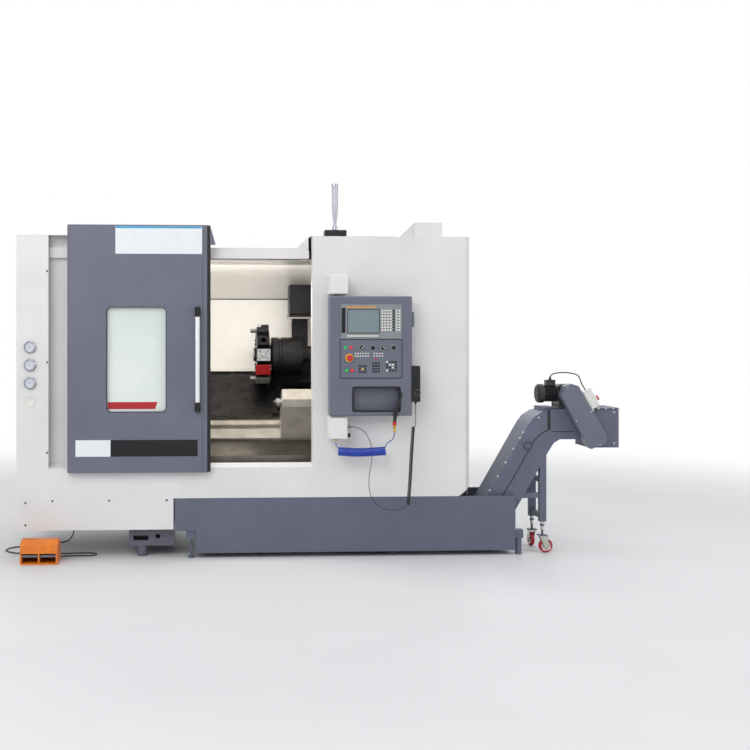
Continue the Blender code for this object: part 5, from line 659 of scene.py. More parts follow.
def shading_group():
    """Join a CAD node's loose triangles and shade it smooth, keeping edges over 32 degrees sharp."""
    known = bpy.data.node_groups.get("joined_and_shaded")
    if known:
        return known
    tree = bpy.data.node_groups.new("joined_and_shaded", "GeometryNodeTree")
    tree.interface.new_socket("Geometry", in_out="INPUT", socket_type="NodeSocketGeometry")
    tree.interface.new_socket("Geometry", in_out="OUTPUT", socket_type="NodeSocketGeometry")
    start = tree.nodes.new("NodeGroupInput")
    end = tree.nodes.new("NodeGroupOutput")
    joined = add(tree, "GeometryNodeMergeByDistance", {"Distance": 0.00002}, (start.outputs[0], "Geometry"))
    angle = add(tree, "GeometryNodeInputMeshEdgeAngle", {})
    flat = add(tree, "FunctionNodeCompare", {"operation": "LESS_THAN", 1: math.radians(32)},
               (angle.outputs["Unsigned Angle"], 0))
    edges = add(tree, "GeometryNodeSetShadeSmooth", {"domain": "EDGE", "Shade Smooth": True},
                (joined.outputs["Geometry"], "Geometry"))
    sharp = add(tree, "FunctionNodeBooleanMath", {"operation": "NOT"}, (flat.outputs[0], 0))
    hard = add(tree, "GeometryNodeSetShadeSmooth", {"domain": "EDGE", "Shade Smooth": False},
               (edges.outputs["Geometry"], "Geometry"), (sharp.outputs[0], "Selection"))
    faces = add(tree, "GeometryNodeSetShadeSmooth", {"domain": "FACE", "Shade Smooth": True},
                (hard.outputs["Geometry"], "Geometry"))
    tree.links.new(faces.outputs["Geometry"], end.inputs[0])
    return tree


class LATHE_OT_cad_finishes(bpy.types.Operator):
    """Give every CAD node its own finish and smooth shading with sharp edges."""

    bl_idname = "lathe.cad_finishes"
    bl_label = "CAD finishes"

    def execute(self, context):
        """Swap each material slot's content for the finish of the same name."""
        group = shading_group()
        for name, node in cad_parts.items():
            for place in node.material_slots:
                key = place.material.name.split(".")[0] if place.material else ""
                place.link = "OBJECT"
                place.material = finish(NODE_COATS.get(name, COATS.get(key, "powder_coat_white")))
            work = node.modifiers.new("shading", "NODES")
            work.node_group = group
        return {"FINISHED"}


# The enclosure's front and door


def hexagon(radius):
    """Six corners on a circle."""
    a = np.radians(np.arange(6) * 60 + 30)
    return radius * np.column_stack([np.cos(a), np.sin(a)])


class LATHE_OT_door_fittings(bpy.types.Operator):
    """Fit the door's gasket, bare plates, pull bar, and a black sheet of painted shade on its right bevel."""

    bl_idname = "lathe.door_fittings"
    bl_label = "Door fittings"

    def execute(self, context):
        """Place each fitting on the door's face, 57 mm before the enclosure."""
        front = context.scene.lathe_front
        face = -0.057
        window = round_corners(0.387, 0.684, 0.03, (0.7815, 1.305), 6)
        width = front.gasket_width
        piece("window_gasket", banded(window, [
            (-0.0006, face - 0.0012), (width, face - 0.0016), (width + 0.001, face + 0.002),
            (width, face + 0.0245), (0.0002, face + 0.0245), (0.0002, face - 0.0002),
        ]), "nitrile_rubber", "door", slot="black_rubber")
        piece("window_red_stripe", drawn([
            (0.594, 0.982), (0.902, 0.982), (0.918, 1.028), (0.594, 1.028),
        ], -0.0322, -0.0317, ease=0.0001), "vinyl_red", "door")
        piece("top_sheet", plate((0.646, 1.208), (face - 0.0009, face - 0.0002), (1.992, 2.172), 0.003, 0.0002),
              "vinyl_white", "door")
        piece("top_sheet_band", plate((0.648, 1.206), (face - 0.0013, face - 0.0007), (2.158, 2.171), 0.002, 0.0002),
              "vinyl_blue", "door")
        for name, x, coat in (("low_plate_left", (0.389, 0.6145), "vinyl_white"),
                              ("low_plate_right", (0.615, 1.1785), "vinyl_black")):
            piece(name, plate(x, (face - 0.0018, face - 0.0002), (0.676, 0.783), 0.002, 0.0003), coat, "door")
        tall = np.array([(0, 0), (0.036, 0), (0.036, -0.03), (0.03, -0.046), (0.024, -0.055), (0.012, -0.055),
                         (0.006, -0.046), (0, -0.03)]) + (1.16, face - 0.0004)
        mounts = merged(drawn(tall, 0.963, 1.03, "Z", 0.004), drawn(tall, 1.58, 1.647, "Z", 0.004))
        piece("pull_bar_mounts", mounts, "moulded_black_abs", "door", ["door_handle"], "bright_steel")
        bar = round_corners(0.029, 0.024, 0.01, (1.178, face - 0.0395), 6)
        piece("pull_bar", drawn(bar, 1.026, 1.584, "Z", 0.001), "anodised_aluminium", "door", ["door_handle"],
              "bright_steel")
        # A black sheet over the door's right bevel: painted shade of the side face that turns away from the front
        # light.
        edge = [(1.2628, face + 0.0212), (1.2632, face + 0.0188), (1.2436, face - 0.0006), (1.2406, face - 0.0004),
                (1.24, face + 0.001), (1.26, face + 0.0214)]
        piece("door_bevel_painted_shade", drawn(edge, 0.575, 2.176, "Z", 0.001), "moulded_black_abs", "door")
        return {"FINISHED"}


class LATHE_OT_front_fittings(bpy.types.Operator):
    """Fit the pressure gauges, the blanking plug and the cover screws."""

    bl_idname = "lathe.front_fittings"
    bl_label = "Front fittings"

    def execute(self, context):
        """Gauges stand on the left cover, screws along the cover and skirt edges."""
        front = context.scene.lathe_front
        radius = front.gauge_radius
        heights = [1.386 - k * front.gauge_pitch for k in range(3)]
        places = [(0.089, 0.0, z) for z in heights]
        r = radius / MM
        ring = turned([(0.2, r + 1), (12, r + 1), (16.5, r - 0.5), (19.2, r - 4), (19, r - 6.5), (14, r - 8.5),
                       (0.2, r - 8.5)], sides=64)
        piece("gauge_bezels", repeated(ring, places), "chrome_painted_dark_reflection", "machine")
        dial = turned([(12.8, 0), (12.8, r - 8.7), (13.6, r - 8.7), (13.6, 0)])
        piece("gauge_dials", repeated(dial, places), "printed_dial", "machine")
        sweep = np.radians(np.linspace(-45, 225, 28))
        marks = [
            self.radial_mark(a, radius - (0.0165 if k % 3 == 0 else 0.0135), radius - 0.0105,
                             0.0008 if k % 3 == 0 else 0.0004)
            for k, a in enumerate(sweep)
        ]
        piece("gauge_marks", repeated(merged(*marks), places), "printing_black", "machine")
        needles = [
            self.radial_mark(math.radians(a), -0.007, radius - 0.014, 0.0009, -0.0145, 0.3)
            for a in (150, 118, 96)
        ]
        cap = turned([(13.8, 0), (13.8, 3.5), (15.5, 3), (16, 0)], sides=20)
        shapes = [repeated(needle, [p]) for needle, p in zip(needles, places)]
        piece("gauge_needles", merged(*shapes, repeated(cap, places)), "printing_black", "machine")
        lens = turned([(16.4, 0), (16.2, r * 0.5), (15.2, r - 8.5), (14.6, r - 8.5), (15.6, r * 0.5), (15.8, 0)],
                      sides=40)
        piece("gauge_lenses", repeated(lens, places), "clear_lens", "machine")
        plug = turned([(1.5, 0), (1.5, 35.5), (3, 35.2), (3.6, 34), (3.6, 30), (3, 29), (3, 0)], (0.089, 0, 1.035))
        piece("gauge_plug_cap", plug, "moulded_pale_abs", "machine")
        cover = [(0.199, -0.0001, z) for z in (1.881, 1.287, 0.697)]
        skirt = [(0.059, -0.0001, 0.37), (0.059, -0.0001, 0.226), (0.233, -0.0001, 0.382),
                 (0.601, -0.0001, 0.382), (0.976, -0.0001, 0.382)]
        piece("cover_screws", screws(cover + skirt, FRONT, front.screw_radius), "black_oxide_steel", "machine")
        return {"FINISHED"}

    def radial_mark(self, angle, inner, outer, half, level=-0.0137, taper=1.0):
        """A thin bar on a dial from one radius to another, in the plane before the face."""
        u = np.array((math.cos(angle), 0.0, math.sin(angle)))
        v = np.array((-math.sin(angle), 0.0, math.cos(angle)))
        y = np.array((0.0, 1.0, 0.0))
        flat = [u * inner - v * half, u * outer - v * half * taper, u * outer + v * half * taper,
                u * inner + v * half]
        points = np.array([p + y * level for p in flat] + [p + y * (level - 0.0004) for p in flat])
        return points, [[0, 1, 2, 3], [7, 6, 5, 4], [0, 4, 5, 1], [1, 5, 6, 2], [2, 6, 7, 3], [3, 7, 4, 0]]


# The chamber


class LATHE_OT_chamber(bpy.types.Operator):
    """Fit the chamber's seam, the slide's motor cover, and the turret's and chuck's bolts and tools."""

    bl_idname = "lathe.chamber"
    bl_label = "Chamber"

    def execute(self, context):
        """Everything seen through the open front."""
        piece("chamber_seam", plate((0.99, 2.612), (1.1155, 1.1192), (1.737, 1.745), 0.001, 0.0004),
              "nitrile_rubber", "machine")
        piece("slide_motor_cover", merged(
            plate((1.85, 2.03), (0.8, 0.985), (1.62, 1.838), 0.01, 0.003),
            plate((1.88, 2.0), (0.96, 0.984), (1.19, 1.625), 0.003, 0.001),
            plate((1.845, 2.035), (0.79, 0.99), (1.6, 1.616), 0.004, 0.001),
        ), "black_oxide_steel", "carriage")
        piece("slide_cover_rim", plate((1.838, 2.042), (0.783, 0.986), (1.586, 1.5995), 0.004, 0.001),
              "ground_steel", "carriage")
        self.turret()
        self.chuck()
        return {"FINISHED"}

    def turret(self):
        """Bolts round the disc's face, clamping screws and covers on the holders, shanks and a sleeve."""
        up_slant = 0.7071 * 0.46
        axis = Vector((1.6, SPINDLE[1] + up_slant, SPINDLE[2] + up_slant))
        turned_to = {
            degrees: Matrix.Translation(axis) @ Matrix.Rotation(math.radians(-degrees), 4, "X")
            for degrees in (0, 30, 60, 90, -30, -60, -90)
        }
        ring = around(axis, 0.105, np.arange(12) * 30 + 15)
        piece("turret_face_bolts", screws(ring, LEFT, 0.0075, 0.006), "black_oxide_steel", "turret")
        cap = turned([(0, 0), (0, 48), (4, 48), (7, 45), (7, 30), (5, 28),
                      (5, 10), (10, 8), (10, 0)], (1.5882, axis.y, axis.z), LEFT, 48)
        piece("turret_cap_disc", cap, "ground_steel", "turret")
        holder_bolts = []
        shanks = []
        head = screws([(x, y, z) for x in (0.014, 0.08) for y in (-0.196, -0.174) for z in (0.024, -0.024)],
                      LEFT, 0.0045, 0.004)
        top = screws([(x, -0.2145, z) for x in (0.018, 0.076) for z in (0.026, -0.026)], FRONT, 0.005, 0.004)
        shank = plate((-0.045, 0.05), (-0.2085, -0.1865), (-0.012, 0.012), 0.001, 0.0006)
        for degrees, turn in turned_to.items():
            holder_bolts.append(moved(top, turn))
            if degrees in (60, -30, -90):
                holder_bolts.append(moved(head, turn))
            if degrees in (60, -60):
                shanks.append(moved(shank, turn))
        piece("holder_bolts", merged(*holder_bolts), "black_oxide_steel", "turret")
        cover = plate((-0.01, 0.096), (-0.2172, -0.214), (-0.04, 0.04), 0.004, 0.001)
        piece("red_holder_cover", moved(cover, turned_to[-30]), "moulded_red_abs", "turret")
        piece("low_holder_cover", moved(cover, turned_to[-60]), "zinc_plate", "turret")
        piece("square_shank_tools", merged(*shanks), "ground_steel", "turret")
        sleeve = turned([(0, 0), (0, 16.5), (10, 18.5), (30, 18.5), (34, 14), (36, 0)],
                        (axis.x + 0.0475, axis.y - 0.19, axis.z), sides=40)
        piece("boring_sleeve", sleeve, "ground_steel", "turret")

    def chuck(self):
        """Bolts on the chuck's face and a bright band round it."""
        ring = around(SPINDLE, 0.088, (30, 150, 270))
        piece("chuck_bolts", screws(ring, RIGHT, 0.01, 0.006), "black_oxide_steel", "spindle")
        rim = turned([(0, 127.5), (0, 128.2), (30, 128.2), (30, 127.5)], (1.03, *SPINDLE[1:]), RIGHT, 96)
        piece("chuck_band", rim, "ground_steel", "spindle")


# The control panel


class LATHE_OT_control_panel(bpy.types.Operator):
    """Fit the display, the keypads, knobs, lamps, pocket rim, hand wheel and air gun."""

    bl_idname = "lathe.control_panel"
    bl_label = "Control panel"

    def execute(self, context):
        """Everything on the swinging panel, 150 mm before the enclosure."""
        panel = context.scene.lathe_panel
        unit = -0.154
        face = -0.148
        size, high = panel.key_size, panel.key_height
        body = "control_panel"
        bezel = round_corners(0.4, 0.225, 0.004, (2.302, 1.5525), 4)
        piece("unit_bezel", banded(bezel, [
            (0.0, unit + 0.002), (0.0008, unit - 0.0012), (0.004, unit - 0.0012), (0.0048, unit + 0.0005),
        ]), "moulded_grey_abs", body, slot="pale_plastic")
        piece("display", plate((2.1475, 2.3565), (-0.1535, -0.1519), (1.4765, 1.6315), 0.004, 0.0005),
              "display_glass", body)
        piece("display_frame", banded(round_corners(0.2125, 0.158, 0.005, (2.252, 1.554), 4), [
            (0.0, unit + 0.0005), (0.0006, unit - 0.0018), (0.003, unit - 0.0018), (0.0048, unit + 0.001),
        ]), "moulded_black_abs", body)
        piece("unit_side_strip", plate((2.108, 2.134), (unit - 0.0008, unit + 0.0005), (1.478, 1.64), 0.002, 0.0002),
              "vinyl_black", body)
        piece("unit_amber_strip", plate((2.14, 2.331), (unit - 0.0006, unit + 0.0005), (1.641, 1.6505), 0.001,
                                        0.0002), "amber_stripe", body)
        piece("unit_dark_strip", plate((2.334, 2.494), (unit - 0.0006, unit + 0.0005), (1.641, 1.6505), 0.001,
                                       0.0002), "moulded_grey_abs", body)
        key = plate((-size / 2, size / 2), (-high, 0.0), (-size * 0.42, size * 0.42), 0.0016, 0.0006, steps=2)
        small = plate((-size * 0.36, size * 0.36), (-high, 0.0), (-size * 0.3, size * 0.3), 0.001, 0.0005, steps=2)
        soft = [(2.152 + 0.0172 * k, unit, 1.4585) for k in range(12)]
        piece("soft_keys", repeated(key, soft), "moulded_pale_abs", body)
        rows = [1.6225 - 0.018 * k for k in range(8)]
        letters = [(2.374 + 0.0186 * k, unit, z) for z in rows for k in range(7)]
        pale = [p for k, p in enumerate(letters) if k % 7 != 4]
        dark = [p for k, p in enumerate(letters) if k % 7 == 4]
        piece("pale_keys", repeated(key, pale), "moulded_pale_abs", body)
        piece("grey_keys", repeated(key, dark), "moulded_black_abs", body)
        piece("status_keys", merged(
            repeated(small, [(2.2 + 0.0165 * k, face, z) for z in (1.345, 1.328) for k in range(6)]),
            repeated(small, [(2.322 + 0.0175 * k, face, z) for z in (1.345, 1.328) for k in range(4)]),
        ), "moulded_pale_abs", body)
        grid_dark = [(2.228 + 0.0185 * i, face, 1.262 - 0.0185 * j) for i in range(3) for j in range(3)
                     if (i, j) != (1, 1)]
        grid_dark += [(2.316 + 0.018 * i, face, 1.282 - 0.018 * j) for i in range(3) for j in range(4)]
        pad = [(2.406 + 0.019 * i, face, 1.29 - 0.0185 * j) for i in range(4) for j in range(4)]
        grid_pale = pad[::5] + pad[3::6]
        grid_dark += [place for place in pad if place not in grid_pale]
        piece("axis_keys", repeated(key, grid_dark), "moulded_black_abs", body)
        piece("function_keys", repeated(key, grid_pale), "moulded_pale_abs", body)
        piece("rapid_key", repeated(key, [(2.2465, face, 1.2435)]), "moulded_yellow_abs", body)
        piece("stop_key", repeated(key, [(2.333, face, 1.305)]), "moulded_red_abs", body)
        plate_edge = round_corners(0.401, 0.25, 0.004, (2.302, 1.311), 4)
        piece("operator_frame", banded(plate_edge, [
            (-0.004, -0.1502), (-0.0035, -0.1516), (-0.0005, -0.1516), (0.0006, face - 0.0001), (-0.001, -0.1495),
        ]), "moulded_black_abs", body)
        lens = turned([(0, 0), (0, 10.5), (3, 10.5), (3.4, 8.5), (7, 8), (8.5, 6), (9, 0)], sides=28)
        seat = face - 0.0001
        piece("power_lamp_green", repeated(lens, [(2.135, seat, 1.3827)]), "lit_green_lens", body)
        piece("power_lamp_red", repeated(lens, [(2.17, seat, 1.3827)]), "lit_red_lens", body)
        radius = panel.knob_radius
        r = radius / MM
        knob = merged(
            turned([(0, 0), (0, r), (4, r), (6, r * 0.82), (15, r * 0.74), (16.5, r * 0.6), (16.5, 0)], sides=32),
            plate((-0.0022, 0.0022), (-0.02, -0.014), (-radius * 0.72, radius * 0.72), 0.001, 0.0005))
        dials = [(x, seat, 1.382) for x in (2.244, 2.314, 2.384, 2.45)]
        piece("fixed_knobs", repeated(knob, dials[1::2]), "moulded_black_abs", body)
        grip = plate((-0.0022, 0.0022), (-0.0205, -0.0172), (-0.01, 0.01), 0.001, 0.0005)
        for name, x, turn, knob_body in (
            ("mode_knob_grip", 2.244, 0.6, "mode_knob"), ("override_knob_grip", 2.384, -0.5, "feed_override_knob"),
        ):
            set_at = Matrix.Translation((x, face, 1.382)) @ Matrix.Rotation(turn, 4, "Y")
            piece(name, moved(grip, set_at), "moulded_pale_abs", knob_body)
        scale = turned([(0, 16.5), (0, 21.5), (0.6, 21.5), (0.6, 16.5)], sides=40)
        piece("knob_scales", repeated(scale, dials), "moulded_grey_abs", body)
        yellow = turned([(0, 13.5), (0, 27), (1.2, 27), (1.6, 26.2), (1.6, 13.5)], (2.16, seat, 1.316))
        piece("stop_backing_ring", yellow, "moulded_yellow_abs", body)
        pocket = round_corners(0.298, 0.146, 0.003, (2.337, 1.048), 4)
        piece("pocket_rim", banded(pocket, [
            (-0.01, -0.1502), (-0.009, -0.1528), (-0.002, -0.1528), (0.0012, -0.15), (0.0012, -0.12),
            (-0.0002, -0.12), (-0.0002, -0.1502),
        ]), "moulded_black_abs", body, slot="black_plastic")
        self.hand_wheel()
        self.box_fittings()
        return {"FINISHED"}

    def hand_wheel(self):
        """Graduated dial with its crank knob, and two selectors on the hand wheel box."""
        centre = (2.5963, -0.17, 1.09)
        ring = turned([(0, 0), (0, 24.6), (4, 24.6), (6, 23.2), (6, 15), (5.5, 13.5), (5.5, 0)], centre, sides=60)
        piece("hand_wheel_dial", ring, "moulded_black_abs", "control_panel")
        crank = turned([(0, 0), (0, 5), (1.5, 4.2), (2, 3), (2.2, 0)], (2.5963 + 0.0085, -0.1754, 1.0935), sides=20)
        piece("hand_wheel_crank", crank, "moulded_black_abs", "control_panel")
        mark = plate((-0.0002, 0.0002), (-0.0004, 0.0), (0.0195, 0.023), 0.0001, 0.00005, steps=1)
        at = Matrix.Translation((centre[0], -0.176, centre[2]))
        lines = merged(*[moved(mark, at @ Matrix.Rotation(math.radians(9 * k), 4, "Y")) for k in range(40)])
        piece("hand_wheel_marks", lines, "moulded_pale_abs", "control_panel")
        knob = turned([(0, 0), (0, 9.5), (3, 9.5), (5, 7.5), (12, 7), (13, 0)], sides=24)
        piece("axis_selectors", repeated(knob, [(2.5853, -0.1601, 1.15), (2.5853, -0.1601, 1.195)]),
              "moulded_black_abs", "control_panel")

    def box_fittings(self):
        """Gland, black knob and hose fittings round the white box under the panel, and the gun's collars."""
        body = "control_panel"
        gland = turned([(0, 0), (0, 12.5), (6, 12.5), (8, 10), (22.5, 4.8), (23.5, 0),
                        ], (2.1505, -0.112, 0.866), RIGHT, 24)
        piece("cord_gland", gland, "moulded_black_abs", body)
        knob = turned([(0, 0), (0, 9), (6, 9), (9, 14), (18, 14), (21, 11),
                       (21, 0)], (2.15, -0.112, 0.812), RIGHT, 24)
        piece("box_knob", knob, "moulded_black_abs", body)
        collar = turned([(0, 3.5), (0, 9.5), (2, 10.5), (12, 10.5), (14, 8.5),
                         (24, 7.5), (26, 3.5)], (2.076, -0.112, 0.7945), DOWN, 24)
        piece("hose_fitting", collar, "turned_brass", body)
        nut = turned([(0, 3.6), (0, 8.8), (10, 10), (12, 9), (30, 9), (36, 10.5),
                      (44, 10.5), (45, 3.6)], (2.452, -0.1643, 0.835), UP, 24)
        piece("gun_fitting", nut, "turned_brass", body, ["air_gun"])
        band = turned([(0, 0), (0, 11.8), (3, 13.4), (21, 13.4), (24, 11.5), (24, 0)],
                      (2.452, -0.1643, 0.88), UP, 28)
        piece("gun_band", band, "moulded_red_abs", body, ["air_gun"])
        line = smooth([(2.452, -0.1643, 0.9035), (2.455, -0.1643, 0.93), (2.463, -0.1643, 0.97),
                       (2.474, -0.1643, 1.01), (2.487, -0.164, 1.045), (2.5005, -0.164, 1.0935)], 0.006)
        t = np.linspace(0, 1, len(line))
        radius = np.interp(t, [0, 0.03, 0.12, 0.45, 0.62, 0.7, 0.95, 1], [0.008, 0.011, 0.0118, 0.013, 0.0115, 0.0062,
                                                                        0.0048, 0.0034])
        piece("gun_body", tube(line, radius, 20, (0, 1, 0)), "moulded_black_abs", body, ["air_gun"])
        lever = smooth([(2.481, -0.164, 1.04), (2.469, -0.164, 1.02), (2.456, -0.164, 0.985),
                        (2.445, -0.164, 0.94)], 0.006)
        piece("gun_lever", tube(lever, np.linspace(0.0045, 0.0032, len(lever)), 10, (0, 1, 0)), "moulded_black_abs",
              body, ["air_gun"])
        relief = turned([(0, 0), (0, 9.5), (4, 9.5), (6, 7), (22, 3), (23, 0)], (2.5963, -0.132, 1.031), DOWN, 20)
        piece("hand_wheel_relief", relief, "moulded_black_abs", body)
        box = screws([(x, -0.1352, z) for x in (2.038, 2.14) for z in (0.918, 0.802)], FRONT, 0.0035, 0.002)
        piece("box_screws", box, "zinc_plate", body)


# Signal lamp, conveyor and pedal


class LATHE_OT_signal_lamp(bpy.types.Operator):
    """Build the signal lamp's tube, neck and cap on its black box."""

    bl_idname = "lathe.signal_lamp"
    bl_label = "Signal lamp"

    def execute(self, context):
        """Turned pieces on the upright axis of the CAD's lamp tube."""
        low, high = span("tower_lamp_tube")
        foot = (float(low[0] + high[0]) / 2, float(low[1] + high[1]) / 2, float(low[2]))
        tall = float(high[2] - low[2]) / MM
        nodes = ["tower_lamp_tube"]
        neck = turned([(0, 0), (0, 19), (2, 19.5), (18, 19), (26, 15), (32, 10.4),
                       (36, 10.4), (36, 0)], foot, UP, 40)
        piece("lamp_neck", neck, "chrome_painted_dark_reflection", "machine", nodes, "lamp_acrylic")
        s = np.linspace(0, 1, 14)
        flare = 10.8 + 11.4 * np.sin(np.pi / 2 * np.clip(s * 2.0, 0, 1)) ** 1.5
        rings = [(36.1, 0), *zip((36.1 + s * (tall - 54.5)).tolist(), flare.tolist()), (tall - 18, 0)]
        piece("lamp_lens", turned(rings, foot, UP, 40), "frosted_acrylic", "machine", nodes, "lamp_acrylic")
        cap = turned([(tall - 17.8, 0), (tall - 17.8, 22.9), (tall - 4, 22.9), (tall - 0.8, 20), (tall - 0.2, 15),
                      (tall - 0.2, 0)], foot, UP, 40)
        piece("lamp_cap", cap, "chrome_painted_dark_reflection", "machine", nodes, "lamp_acrylic")
        return {"FINISHED"}


class LATHE_OT_conveyor(bpy.types.Operator):
    """Build the gearmotor, chain guard, stop switch, casing seams, bolts and casters."""

    bl_idname = "lathe.conveyor"
    bl_label = "Chip conveyor"

    def execute(self, context):
        """Pieces on the conveyor's near side and head."""
        sizes = context.scene.lathe_conveyor
        self.gearmotor(sizes)
        self.guard()
        self.casing(sizes)
        for number, axis in ((1, "Y"), (2, "X")):
            self.caster(number, axis)
        return {"FINISHED"}

    def gearmotor(self, sizes):
        """Gearbox, finned motor with its fan cowl, and the terminal box with its gland."""
        x, z = GUARD_MOTOR
        y = 0.125
        looks = ("black_enamel_on_casting", "machine", ["conveyor_gearmotor"], "black_paint")
        box = merged(
            plate((x - 0.058, x + 0.058), (0.056, 0.198), (0.9695, z + 0.058), 0.012, 0.003, steps=4),
            plate((x - 0.061, x + 0.061), (0.051, 0.062), (0.969, z + 0.061), 0.014, 0.002, steps=4),
            plate((x - 0.061, x + 0.061), (0.188, 0.199), (0.969, z + 0.061), 0.014, 0.002, steps=4),
            plate((x - 0.061, x + 0.061), (0.052, 0.198), (0.9686, 0.98), 0.004, 0.001),
            turned([(0, 0), (0, 30), (16, 30), (18, 27), (18, 0)], (x, 0.06, z), sides=36),
            turned([(0, 0), (0, 13.5), (12, 13.5), (12, 0)], (x, 0.056, z), sides=24),
        )
        piece("worm_gearbox", box, *looks)
        a = np.linspace(0, 2 * np.pi, sizes.fin_count * 8, endpoint=False)
        r = 0.049 + sizes.fin_depth * np.clip(np.cos(sizes.fin_count * a) * 2.2, -1, 1)
        ring = np.column_stack([y + r * np.cos(a), z + r * np.sin(a)])
        piece("motor_fins", merged(
            drawn(ring, x - 0.146, x - 0.066, "X"),
            turned([(0, 0), (0, 56), (10, 56), (12, 52), (12, 0)], (x - 0.056, y, z), LEFT, 48),
        ), *looks)
        cowl = turned([
            (0, 0), (0, 62), (2, 63.8), (35, 63.8), (42, 56), (43.6, 50),
            (41, 49.5), (41, 43), (44, 42.5), (44.2, 36), (41.2, 35.5),
            (41.2, 29), (44.2, 28.5), (44.2, 22), (41.2, 21.5), (41.2, 14),
            (44.2, 13.5), (44.2, 0),
        ], (x - 0.1455, y, z), LEFT, 56)
        piece("motor_cowl", cowl, *looks)
        piece("terminal_box", merged(
            plate((x - 0.126, x - 0.068), (y - 0.034, y + 0.034), (z + 0.052, z + 0.084), 0.004, 0.002,
                  "Z"),
            plate((x - 0.128, x - 0.066), (y - 0.036, y + 0.036), (z + 0.0838, z + 0.0918), 0.005, 0.002,
                  "Z"),
        ), *looks)
        gland = turned([(0, 0), (0, 11), (5, 11), (7, 8.5), (20, 6.2), (21, 0)], (3.57, y, z + 0.0915), UP, 24)
        piece("terminal_gland", gland, "moulded_black_abs", "machine")

    def guard(self):
        """The chain guard as a welded box with cut corners, its screws, and the stop switch beside it."""
        down, out = GUARD_DOWN, GUARD_OUT
        half = 0.0716
        run = float(np.linalg.norm(GUARD_HEAD - GUARD_MOTOR))
        corners = [(-0.07, -0.014), (-0.062, 0.034), (-0.022, half), (run + 0.026, half), (run + 0.0625, 0.04),
                   (run + 0.046, -0.0625), (run + 0.004, -0.078), (-0.024, -0.062)]
        outline = np.array([GUARD_MOTOR + down * s + out * t for s, t in corners])
        piece("chain_guard_box", drawn(outline, -0.0262, 0.0436, "Y", 0.003), "powder_coat_blue_grey", "machine",
              ["conveyor_chain_guard"], "grey_paint")
        piece("chain_guard_seam", banded(outline, [
            (0.003, 0.03), (-0.0002, 0.03), (-0.0002, 0.0325), (0.003, 0.0325),
        ]), "printing_black", "machine")
        heads = [GUARD_MOTOR + down * s + out * t for s, t in ((-0.05, 0.0), (run + 0.05, 0.0), (run / 2, 0.058),
                                                            (run / 2, -0.058))]
        piece("chain_guard_screws", screws([(h[0], -0.0262, h[1]) for h in heads], FRONT, 0.0055, 0.003),
              "zinc_plate", "machine")
        start = GUARD_MOTOR + down * 0.03 + out * (0.072 + GAP)
        middle = start + down * 0.085 + out * 0.06
        aim = (float(out[0]), 0.0, float(out[1]))
        centre = (float(middle[0]), 0.0077, float(middle[1]))
        collar = turned([(2, 14.2), (2, 23.5), (4, 23.5), (4.5, 22), (4.5, 14.2)], centre, aim, 36)
        piece("switch_yellow_ring", collar, "moulded_yellow_abs", "machine")
        top = centre[0] + aim[0] * 0.014, centre[1], centre[2] + aim[2] * 0.014
        cap = turned([(0, 0), (0, 15), (0.5, 17.8), (5, 18.5), (10, 16.5), (12, 8), (12.4, 0)], top, aim, 36)
        piece("switch_stop_button", cap, "moulded_red_abs", "machine")

    def casing(self, sizes):
        """Bolts on the casing's upper edge and lid, the side seams, the round plug and the jack sleeves."""
        line = [(3.468, 0.91), (3.3615, 0.813), (3.3394, 0.774), (3.2951, 0.703), (3.2417, 0.61),
                (3.1888, 0.517), (3.133, 0.424)]
        washer = sizes.bolt_radius / MM * 1.3
        head = turned([(0, 0), (0, washer), (1.2, washer), (1.4, 0)], sides=20)
        bolt = merged(head, drawn(hexagon(sizes.bolt_radius), -0.0012, -0.0062, "Y", 0.0008))
        high = [(3.985, 0.945), (3.985, 0.735)]
        places = [(float(p[0]), 0.0499, float(p[1])) for p in line + high]
        piece("casing_bolts", repeated(bolt, places), "zinc_plate", "machine")
        seam = smooth([(3.2244, 0.0498, 0.39), (3.33, 0.0498, 0.566), (3.4237, 0.0498, 0.732),
                       (3.4594, 0.0498, 0.7764), (3.4946, 0.0498, 0.8075), (3.5389, 0.0498, 0.8293)], 0.012)
        piece("casing_seam", tube(seam, 0.003, 8, (0, 1, 0)), "printing_black", "machine")
        piece("casing_joint", merged(
            plate((3.529, 3.548), (0.047, 0.05), (0.827, 0.9577), 0.002, 0.0006),
            plate((3.556, 3.71), (0.0485, 0.05), (0.813, 0.818), 0.001, 0.0003),
        ), "printing_black", "machine")
        place = (3.3926, 0.0499, 0.7188)
        groove = turned([(0, 23.5), (0, 29), (2.2, 28.5), (2.2, 23.5)], place, sides=36)
        piece("casing_plug_groove", groove, "printing_black", "machine")
        plug = turned([(0, 0), (0, 23.2), (4, 22.8), (5.2, 14), (8, 12.5), (12, 11.8), (12.8, 0)], place, sides=36)
        piece("casing_plug", plug, "plate_paint_grey", "machine")
        lid = [(x, 0.0438, 0.97) for x in (3.875, 3.925, 3.975, 4.012)]
        piece("lid_bolts", repeated(drawn(hexagon(0.007), 0.0, -0.004, "Y", 0.0006), lid), "zinc_plate",
              "machine")
        stem = turned([(0, 0), (0, 10.5), (60, 10.5), (62, 0)], (0, 0, 0), DOWN, 24)
        piece("jack_sleeves", repeated(stem, [(3.499, 0.072, 0.212), (3.499, 0.298, 0.212)]), "zinc_plate", "machine")

